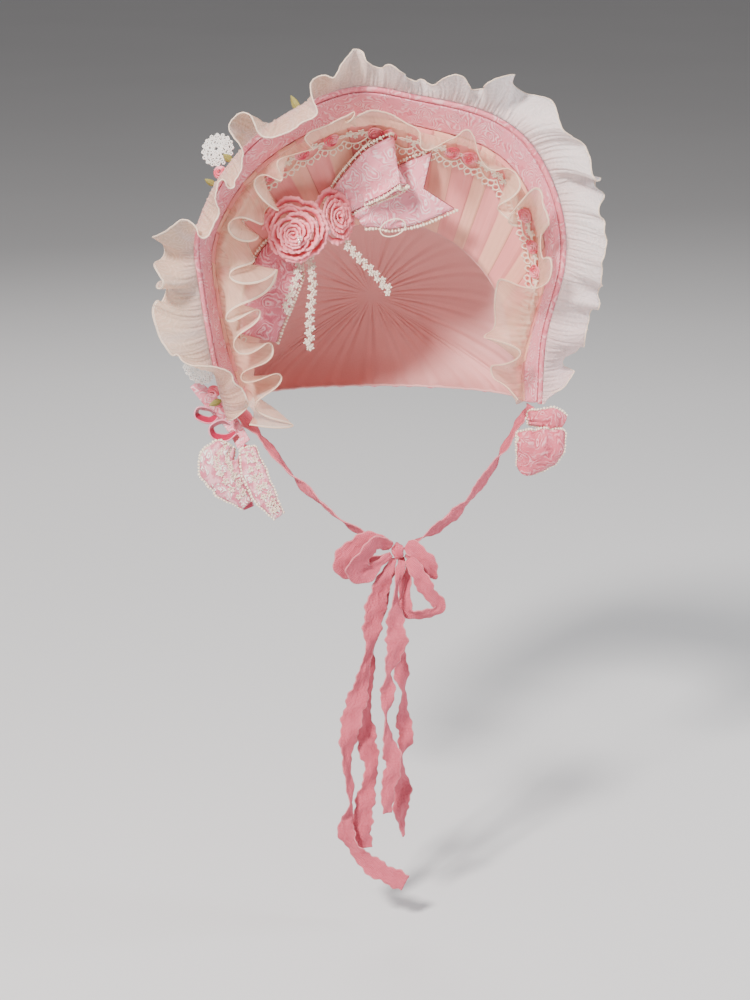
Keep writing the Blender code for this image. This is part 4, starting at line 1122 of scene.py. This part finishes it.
for rose_name, rose_shape in (
    ("rose_large", dict(centre=(-72.5, -41, 1.5), axis=(-0.05, -1, 0.1), radius=26.0, rise=17.5,
                        turns=8.4, seed=3, drift=(3.5, -2.5))),
    ("rose_small", dict(centre=(-42.2, -32.4, 8.6), axis=(0.56, -0.82, 0.16), radius=18.0, rise=10.5,
                        turns=5.6, seed=8, drift=(2.5, 1.5), stretch=1.28)),
):
    rose_piece = cloth(rose_name + "_ribbon", rose(**rose_shape), ROSE_WALL, rose_cloth, "rose_ribbon")
    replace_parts(rose_piece, rose_name)
drop = Recipe("clear_drop", roughness=0.12, specular=0.6)
drop.shader.inputs["Base Color"].default_value = (0.90, 0.62, 0.58, 1)
drop.shader.inputs["Coat Weight"].default_value = 0.8
drop_lines = [[np.array([-73.0 + dx, -60.6, 0.6 + dz]) * MM, np.array([-72.6 + dx, -60.6, -1.2 + dz]) * MM]
              for dx, dz in ((0, 0), (2.4, -1.4), (0.6, -3.6))]
knots("rose_drops", drop_lines, 5.0 * MM, 1.2 * MM, drop.finish(), "rose_ribbon", seed=2)

# The three strands of blossom lace under the roses. Each is an ivory cord crocheted along its length with
# small close blossoms, and it ends in one.
CORD_TWIST = 5.5 * MM
BLOSSOM_SPACING = 3.5 * MM
STRANDS = {
    "lace_strand_a": ((-38, -30.8, -3.5), (-31, -34, -15), (-24, -38, -22), (-16, -45, -30), (-8, -51, -38),
                      (-2, -56, -46)),
    "lace_strand_b": ((-71, -38.9, -13), (-71, -38.5, -26), (-73, -42, -36), (-77, -46, -45), (-80, -49, -53),
                      (-83, -51, -61)),
    "lace_strand_c": ((-64, -38.8, -12), (-61.5, -39, -27), (-61, -44, -40), (-62, -49, -52), (-64, -53, -64),
                      (-64, -57, -76), (-66, -60, -89)),
}
strand_thread = thread_finish("strand_thread", (0.96, 0.88, 0.77), (0.80, 0.64, 0.50))


def to_front(direction):
    """The direction, or its reverse if that one faces the front."""
    return direction if direction[1] < 0 else -direction


for strand_name, rows in STRANDS.items():
    route = ribbon_rows(rows, 10) * MM
    tangents = unit(np.gradient(route, axis=0))
    run = run_of(route)
    strand_dice = random.Random(len(rows) + int(route[-1][0] * 1000))
    side = unit(np.cross(tangents[0], (0, -1, 0.1)))
    paths = []
    for part in (0, 1):
        twist = []
        for point, tangent, at in zip(route, tangents, run):
            side = unit(side - tangent * (side @ tangent))
            angle = math.pi * (at / CORD_TWIST + part)
            twist.append(point + toward(side, np.cross(tangent, side), angle) * 0.9 * MM)
        paths.append(twist)
    for count, at in enumerate(np.arange(1.5 * MM, run[-1], BLOSSOM_SPACING)):
        point = np.array([np.interp(at, run, route[:, c]) for c in range(3)])
        tangent = tangents[int(np.searchsorted(run, at)) - 1]
        lean = 1 if count % 2 else -1
        turn = lean * (0.5 + strand_dice.uniform(-0.3, 0.3))
        side = unit(np.cross(tangent, (0, -1, 0.1)))
        front = to_front(unit(np.cross(side, tangent)))
        facing = unit(toward(front, side, turn))
        across = unit(np.cross(facing, tangent))
        up = np.cross(facing, across)
        heart = point + side * lean * 1.7 * MM + front * 1.2 * MM
        paths.append(blossom_path(heart, across, up, facing, strand_dice.uniform(2.4, 3.2) * MM,
                                  start=strand_dice.uniform(0, 6.28), points=5))
        paths.append(ring_path(heart + facing * 0.4 * MM, across, up, 0.7 * MM, points=6))
    strand = thread(strand_name + "_crochet", paths, 0.42 * MM, strand_thread, "ivory_lace", sides=5)
    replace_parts(strand, strand_name)

# The trims outside the brim, on the left and over the top: two guipure flowers, two buds of the same gimp
# as the braid's, and small green-gold leaves of stiffened ribbon behind them.
FLOWER_RINGS = (
    # reach, petals
    (12.3, 8), (10.9, 8), (9.2, 8), (7.4, 6), (5.6, 6), (3.9, 5), (2.2, 5),
)
FLOWER_RISE = 3.6
FLOWER_ROUND = 13.5
SPOKES = 16
TALL_BUD_TURNS = 4.2
TALL_BUD_RISE = 6.6
LEAF_WALL = 0.5 * MM


def outside(t, v, away):
    """A point behind the brim, with the directions out, along, across and up there."""
    out, _, along = axes_at(t, v)
    across = unit(np.cross(out, along))
    return on_brim(t, v, -(1.4 * MM + away)), out, along, across, np.cross(across, out)


flower_thread = thread_finish("flower_thread", (0.92, 0.88, 0.84), (0.74, 0.66, 0.60))
for flower_name, t, v, away, stretch in (
    ("lace_flower_top", -0.375, 0.96, 18 * MM, 1.0), ("lace_flower_side", -0.86, 0.92, 13.4 * MM, 1.3),
):
    centre, out, _, across, up = outside(t, v, away)
    paths = []
    for ring, (reach, petals) in enumerate(FLOWER_RINGS):
        outline = []
        for k in range(61):
            a = 2 * math.pi * (k % 60) / 60
            r = reach * (0.86 + 0.14 * math.cos(petals * a + ring * math.pi))
            high = FLOWER_RISE * (1 - (r / FLOWER_ROUND) ** 2) + 0.4
            outline.append(centre + (toward(across, up, a, stretch) * r + out * high) * MM)
        paths.append(outline)
    for k in range(SPOKES):
        a = 2 * math.pi * k / SPOKES
        spoke = []
        for r in np.linspace(1.5, 11.4 if k % 2 else 12.2, 9):
            bend = a + 0.22 * math.sin(r * 0.9 + k)
            high = FLOWER_RISE * (1 - (r / FLOWER_ROUND) ** 2) + 0.6
            spoke.append(centre + (toward(across, up, bend, stretch) * r + out * high) * MM)
        paths.append(spoke)
        rim_at = centre + (toward(across, up, a, stretch) * 11.6 + out * 1.2) * MM
        paths.append(ring_path(rim_at, across, up, 1.1 * MM, points=8))
    flower = thread(flower_name + "_guipure", paths, 0.62 * MM, flower_thread, "ivory_lace", sides=5)
    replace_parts(flower, flower_name)

for bud_name, t, v in (("rosebud_top", -0.41, 0.93), ("rosebud_side", -0.925, 0.90)):
    centre, out, _, across, up = outside(t, v, 6 * MM)
    paths = []
    for layer in (0.0, 1.1):
        path = []
        for s in np.linspace(0, 1, 60):
            angle = 2 * math.pi * TALL_BUD_TURNS * s + layer
            r = max(np.interp(s * 7, (0, 2.5, 5.5, 7), (3.4, 4.6, 3.4, 0.6)) - layer * 0.9, 0.3)
            path.append(centre + (toward(across, up, angle) * r + out * TALL_BUD_RISE * s) * MM)
        paths.append(path)
    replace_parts(thread(bud_name + "_gimp", paths, 0.9 * MM, gimp_cloth, "rosebud_gimp", sides=7), bud_name)

leaf_finish = Recipe("leaf_ribbon", roughness=0.6, sheen=0.05, subsurface=0.05)
leaf_vein = leaf_finish.step(abs(leaf_finish.map_of("Share", 1) - 0.5), 0.07, 0.0)
leaf_grain = leaf_finish.noise(leaf_finish.place(), 500)
leaf_colour = leaf_finish.layers((0.20, 0.18, 0.035), (leaf_grain, (0.36, 0.32, 0.09)),
                                 (leaf_vein * 0.6, (0.45, 0.42, 0.16)))
leaf_cloth = leaf_finish.finish(colour=leaf_colour, height=leaf_grain + leaf_vein, depth=0.0004)
for leaf_name, t, v, reach, width in (
    ("leaf_top", -0.375, 0.985, 9, 6), ("leaf_bud", -0.44, 0.98, 10, 5), ("leaf_side", -0.955, 0.98, 11, 6),
    ("leaf_crest_left", -0.17, 0.95, 15, 6), ("leaf_crest_right", 0.13, 0.95, 15, 6),
):
    base, out, along, _, _ = outside(t, v, 1.2 * MM)
    reach_out = (0.55 * out - 0.8 * np.cross(along, out)) * reach
    rows = [(*(base / MM + reach_out * share), width * part, 20)
            for share, part in ((0.0, 0.25), (0.35, 1.0), (0.7, 0.8), (1.0, 0.05))]
    leaf_grid = ribbon_grid(rows, steps=6, across=6, cup=0.8)
    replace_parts(cloth(leaf_name + "_ribbon", leaf_grid, LEAF_WALL, leaf_cloth, "leaf"), leaf_name)

# The side bows at the brim's lower ends. The left one is jacquard under ivory lace with raised blossoms,
# hung from a strap with two crimson satin loops beside it; the right one is plain jacquard. Both have a
# picot edge.
laced = Recipe("laced_jacquard", roughness=0.6, sheen=0.08, subsurface=0.08, sheen_tint=(1, 0.9, 0.9))
laced_place = laced.map_of("Cloth")
laced_cells = laced.add("ShaderNodeTexVoronoi", {"voronoi_dimensions": "2D"},
                        {"Vector": laced_place, "Scale": 165})
laced_lines = (laced_cells * 15.0 + laced.noise(laced_place, 330, detail=3.0) * 12.0).sine()
laced_patch = laced.step(laced.noise(laced_place, 95, rough=0.6), 0.50, 0.54)
laced_mask = laced.step(laced_lines, -0.1, 0.4) * laced_patch
laced_colour = laced.layers(
    (0.66, 0.18, 0.25),
    # Painted shade in random patches: the darker pink around the lighter patches stands in for the shade in
    # the crumpled folds.
    (laced.step(laced.noise(laced_place, 200), 0.4, 0.6), (0.86, 0.42, 0.47)),
    (laced_mask, (0.96, 0.87, 0.80)),
)
laced_silk = laced.finish(colour=laced_colour, height=laced_mask * 1.2 + laced.noise(laced_place, 900) * 0.3,
                          depth=0.0008, strength=0.8)
satin = Recipe("crimson_satin", roughness=0.34, sheen=0.05, specular=0.6, sheen_tint=(1, 0.5, 0.6))
satin_edge = satin.step(abs(satin.map_of("Share", 1) - 0.5), 0.36, 0.44)
satin_cloth = satin.finish(colour=satin.layers((0.46, 0.02, 0.07), (satin_edge, (0.80, 0.32, 0.40))),
                           height=satin.grain(200, 1800, detail=2.0), depth=0.0003)
deep_silk = jacquard("deep_jacquard", (0.72, 0.14, 0.19), (0.92, 0.44, 0.48), (0.40, 0.03, 0.06),
                     motif=16, rings=30)
SIDE_BOWS = {
    "left_bow_strap": ((
        (-153.4, -26, -122, 9, 0), (-140.2, -24, -138, 12, 0), (-125, -22, -156, 12, 0),
        (-116, -45.4, -167, 12, 0)), {}, bow_silk, "jacquard"),
    "left_bow_broad": ((
        (-129, -47, -167, 13, 0), (-136, -50, -179, 30, 0), (-129, -53, -195, 27, 0),
        (-115, -54, -214, 9, 0)),
        {"cup": 4, "pinch": 2.0, "wave": 0.9, "frill": 0.08}, laced_silk, "jacquard"),
    "left_bow_narrow": ((
        (-113, -48.5, -170, 11, 0), (-109, -57, -186, 17, 0), (-100, -63, -206, 15, 0),
        (-90, -64, -221, 7, 0)),
        {"cup": 3, "pinch": 1.4, "wave": 0.8, "frill": 0.08}, laced_silk, "jacquard"),
    "left_bow_fold": ((
        (-111, -47, -168, 12, 0), (-115, -46, -181, 14, 0), (-121, -46, -198, 16, 0),
        (-113, -47, -219, 9, 0)),
        {}, satin_cloth, "crimson_satin"),
    "satin_loop_upper": ((
        (-137, -26.6, -149, 6, 20), (-143, -30, -151, 8, 40), (-152, -31, -147, 8, 40),
        (-151, -31, -141, 8, 40), (-144, -30, -142, 8, 40), (-138, -26.6, -146, 6, 20)),
        {"first": (0, 1, 0)}, satin_cloth, "crimson_satin"),
    "satin_loop_lower": ((
        (-126, -38, -153, 6, -20), (-133, -39, -150, 8, -40), (-141, -40, -154, 8, -40),
        (-139, -40, -161, 8, -40), (-130, -40, -163, 8, -40), (-122, -39, -159, 6, -20)),
        {"first": (0, 1, 0)}, satin_cloth, "crimson_satin"),
    "right_bow_upper": ((
        (113, -26.5, -156, 11, 0), (121, -33, -155, 14, 0), (131, -34, -155, 16, 0), (139, -31, -159, 12, 0)),
        {"cup": 3, "pinch": 1.6, "wave": 0.8, "frill": 0.06}, deep_silk, "jacquard"),
    "right_bow_lower": ((
        (121, -34, -165.2, 36, 0), (121, -39, -174, 38, 0), (115, -37, -186, 30, 0), (108, -32, -198, 12, 0)),
        {"cup": 5, "pinch": 2.8, "wave": 0.8, "frill": 0.06}, deep_silk, "jacquard"),
}
side_picots, side_edges, side_blossoms = [], [], []
side_dice = random.Random(17)
for side_name, (rows, how, silk, side_slot) in SIDE_BOWS.items():
    side_grid = ribbon_grid(rows, steps=12, across=14, **how)
    side_piece = cloth(side_name + "_cloth", side_grid, RIBBON_WALL, silk, side_slot)
    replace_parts(side_piece, side_name)
    if not side_name.startswith("satin"):
        declare(side_piece, side_grid, "folded", ["brim"])
    if silk in (laced_silk, deep_silk):
        for column in (0, -1):
            side_picots.append(edge_of(side_grid, column, 1.2 * MM))
            side_edges.append(edge_of(side_grid, column))
        side_picots.append(end_of(side_grid, 0, 1.0 * MM))
    if silk is laced_silk:
        for k in range(3, len(side_grid) - 2, 4):
            for column in (4, 8):
                along = unit(side_grid[k + 1, column] - side_grid[k - 1, column])
                across = unit(side_grid[k, column + 1] - side_grid[k, column - 1])
                facing = to_front(unit(np.cross(across, along)))
                heart = side_grid[k, column] + facing * 1.4 * MM
                radius = side_dice.uniform(2.2, 3.4) * MM
                side_blossoms.append(blossom_path(heart, across, along, facing, radius,
                                                  start=side_dice.uniform(0, 6.28), points=5))
knots("side_bow_picot", side_picots, 2.5 * MM, PICOT_RADIUS, guipure, "ivory_lace", seed=7)
thread("side_bow_cord", side_edges + side_blossoms, 0.4 * MM, guipure, "ivory_lace", sides=5)

# The knot of the main bow, which the roses cover, and the knot of the chin ties: cloth wrapped round and
# drawn tight, so that it lies in ridges.
MUSLIN_THREADS = 5200
KNOT_SIDES = 40
KNOT_ROWS = 14
RIDGE_DEPTH = 0.5
muslin = Recipe("muslin", roughness=0.85, sheen=0.06, subsurface=0.10, specular=0.2,
                sheen_tint=(1, 0.8, 0.85))
muslin_warp = muslin.threads(0, MUSLIN_THREADS)
muslin_weft = muslin.threads(1, MUSLIN_THREADS)
muslin_slub = muslin.grain(90, 600)
muslin_crumple = muslin.grain(130, 210)
muslin_weave = (muslin_warp + muslin_weft) * 0.25 + 0.5
muslin_thick = muslin_warp.maths("MAXIMUM", *(muslin.step(threads, 0.6, 1.0)
                                              for threads in (muslin_warp, muslin_weft)))
muslin_edge = muslin.step(abs(muslin.map_of("Share", 1) - 0.5), 0.43, 0.48)
muslin_colour = muslin.layers(
    (0.44, 0.04, 0.08),
    (muslin_slub * 0.7 + muslin_crumple * 0.3, (0.74, 0.15, 0.20)),
    (muslin_thick * 0.32, (0.90, 0.38, 0.42)),
    (muslin_edge * 0.4, (0.90, 0.38, 0.40)),
)
muslin_height = muslin_weave * 0.5 + muslin_slub + muslin_crumple * 2.5
muslin_cloth = muslin.finish(colour=muslin_colour, height=muslin_height, depth=0.0009, strength=0.7)


def knot_grid(centre, axis, rings, stretch, ridges):
    """Rings of cloth round an axis, each with its radius and its height (mm) and ridged all round."""
    axis = unit(axis)
    across = unit(np.cross(axis, (0, 0, 1)))
    up = np.cross(across, axis)
    radii, heights = zip(*rings)
    grid = []
    for k in range(KNOT_ROWS + 1):
        share = k / KNOT_ROWS
        r, high = (np.interp(share * (len(rings) - 1), range(len(rings)), row) for row in (radii, heights))
        line = []
        for a in np.linspace(0, 2 * math.pi, KNOT_SIDES, endpoint=False):
            fold = RIDGE_DEPTH * (math.sin(ridges * a + 2.2 * share) * math.sin(math.pi * share) - 1)
            line.append((centre + toward(across, up, a, stretch) * (r + fold) + axis * high) * MM)
        grid.append(line)
    return np.array(grid)


bow_knot_grid = knot_grid((-51, -17, -1), (-0.2, -1, 0.25), ((7, -3), (10, 0), (9, 3)), 0.8, 6)
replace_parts(rings_mesh("bow_knot_silk", bow_knot_grid, bow_silk, "jacquard"), "bow_knot")
tie_knot_grid = knot_grid((1, -88, -243), (0, -1, 0), ((3, 0), (5, 2.5), (5.2, 7.5), (3, 10)), 1.35, 5)
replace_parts(rings_mesh("tie_knot_muslin", tie_knot_grid, muslin_cloth, "muslin"), "tie_knot")

# The chin ties. Two straps of crinkled pink muslin from the brim's lower ends, tied under the chin in a
# bunch of loops, with four long ends that twist as they hang.
TIE_WALL = 0.7 * MM
TIES = {
    "tie_left": ((-118, -20, -145.6, 15, 0), (-108, -28, -158, 15, 10), (-84, -46, -186, 15, 40),
                 (-60, -62, -209, 13, 60), (-36, -76, -226, 12, 50), (-14, -84.5, -237, 9, 20),
                 (-4.7, -89.3, -242, 5, 10)),
    "tie_right": ((114.5, -19, -147, 15, 0), (104, -22, -163, 15, -10), (84, -42, -188, 15, -40),
                  (60, -62, -212, 13, -60), (36, -76, -229, 12, -50), (15, -86, -238, 10, -30),
                  (6.7, -90.2, -242, 5, -10)),
    "tie_loop_front": ((-4.8, -96, -239, 7, 0), (-17, -107, -232, 15, 0), (-29, -112, -243, 18, 0),
                       (-32, -108, -255, 18, 0), (-25, -104, -258, 14, 0), (-14, -101, -250, 8, 0),
                       (-4.8, -96.5, -244.5, 4.5, 0)),
    "tie_loop_left": ((-3.8, -92, -238.4, 5, 0), (-19, -93, -234, 14, 0), (-35, -92, -242, 16, 0),
                      (-42, -90, -255, 16, 0), (-33, -87, -261, 14, 0), (-19, -87, -252, 11, 0),
                      (-5, -91, -247, 6, 0)),
    "tie_loop_right": ((7.5, -93, -238, 7, 0), (14, -95, -242, 13, 0), (23, -96, -252, 14, 0),
                       (27, -94, -264, 12, 0), (22, -90, -262, 11, 0), (14, -89, -252, 10, 0),
                       (7.5, -90, -246, 6, 0)),
    "tie_loop_low": ((9, -98, -248, 6, 0), (15, -103, -257, 12, 0), (24, -103, -274, 12, 0),
                     (34, -101, -288, 9, 0), (22, -98, -294, 12, 0), (9, -95, -293, 12, 0),
                     (8, -93, -280, 7, 0), (9, -92, -264, 6, 0), (8, -92, -254, 5, 0)),
    "streamer_left": ((-2.6, -95.5, -248.9, 4.5, 0), (-13, -98, -273, 15, 20), (-19, -99, -299, 16, 0),
                      (-22, -98, -324, 9, 55), (-29, -98, -354, 15, 10), (-37, -98, -387, 16, -15),
                      (-40, -98, -419, 10, 50), (-36, -97, -448, 9, 60), (-41, -98, -474, 13, 0),
                      (-33, -99, -493, 13, -30), (-18, -101, -508, 15, 0), (7, -103, -522, 14, 20)),
    "streamer_back_left": ((-3, -91, -249.6, 5, 0), (-7, -89, -275, 10, 40), (-14, -87, -308, 8, 60),
                           (-21, -87, -340, 12, 40), (-23, -87, -371, 10, 40), (-23, -88, -405, 16, 0),
                           (-19, -88, -425, 12, 25), (-24, -88, -453, 15, 0), (-27, -89, -475, 16, 5),
                           (-26, -90, -496, 14, 0)),
    "streamer_middle": ((4, -97, -249.6, 5, 0), (-1, -103, -273, 8, 60), (-2, -105, -296, 14, 0),
                        (-1, -105, -317, 16, 0), (-7, -105, -340, 10, 40), (-8, -105, -358, 12, 0),
                        (-9, -105, -377, 5, 75), (-7, -105, -399, 13, 20), (-3, -105, -418, 13, -10),
                        (-7, -105, -436, 12, 10), (-8, -105, -459, 8, 0)),
    "streamer_right": ((4, -91, -249.6, 5, 0), (5, -86, -285, 8, 50), (3, -85, -319, 10, 50),
                       (5, -85, -346, 12, 30), (7, -85, -365, 9, 50), (6, -85, -385, 12, 20),
                       (9, -85, -402, 12, 0), (5, -85, -423, 8, 60), (6, -85, -447, 14, 0),
                       (5, -85, -467, 12, 20), (7, -85, -488, 6, 60)),
}
TIE_STARTS = {"tie_left": (-18, -24, -7), "tie_right": (11, -22, 3)}
for tie_name, rows in TIES.items():
    tie_grid = ribbon_grid(rows, steps=26, across=12, first=TIE_STARTS.get(tie_name), seed=len(tie_name) * 7,
                           wave=1.5, frill=0.2)
    tie_piece = cloth(tie_name + "_muslin", tie_grid, TIE_WALL, muslin_cloth, "muslin")
    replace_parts(tie_piece, tie_name)
    declare(tie_piece, tie_grid, "hung", ["brim" if tie_name in TIE_STARTS else "tie_knot"])
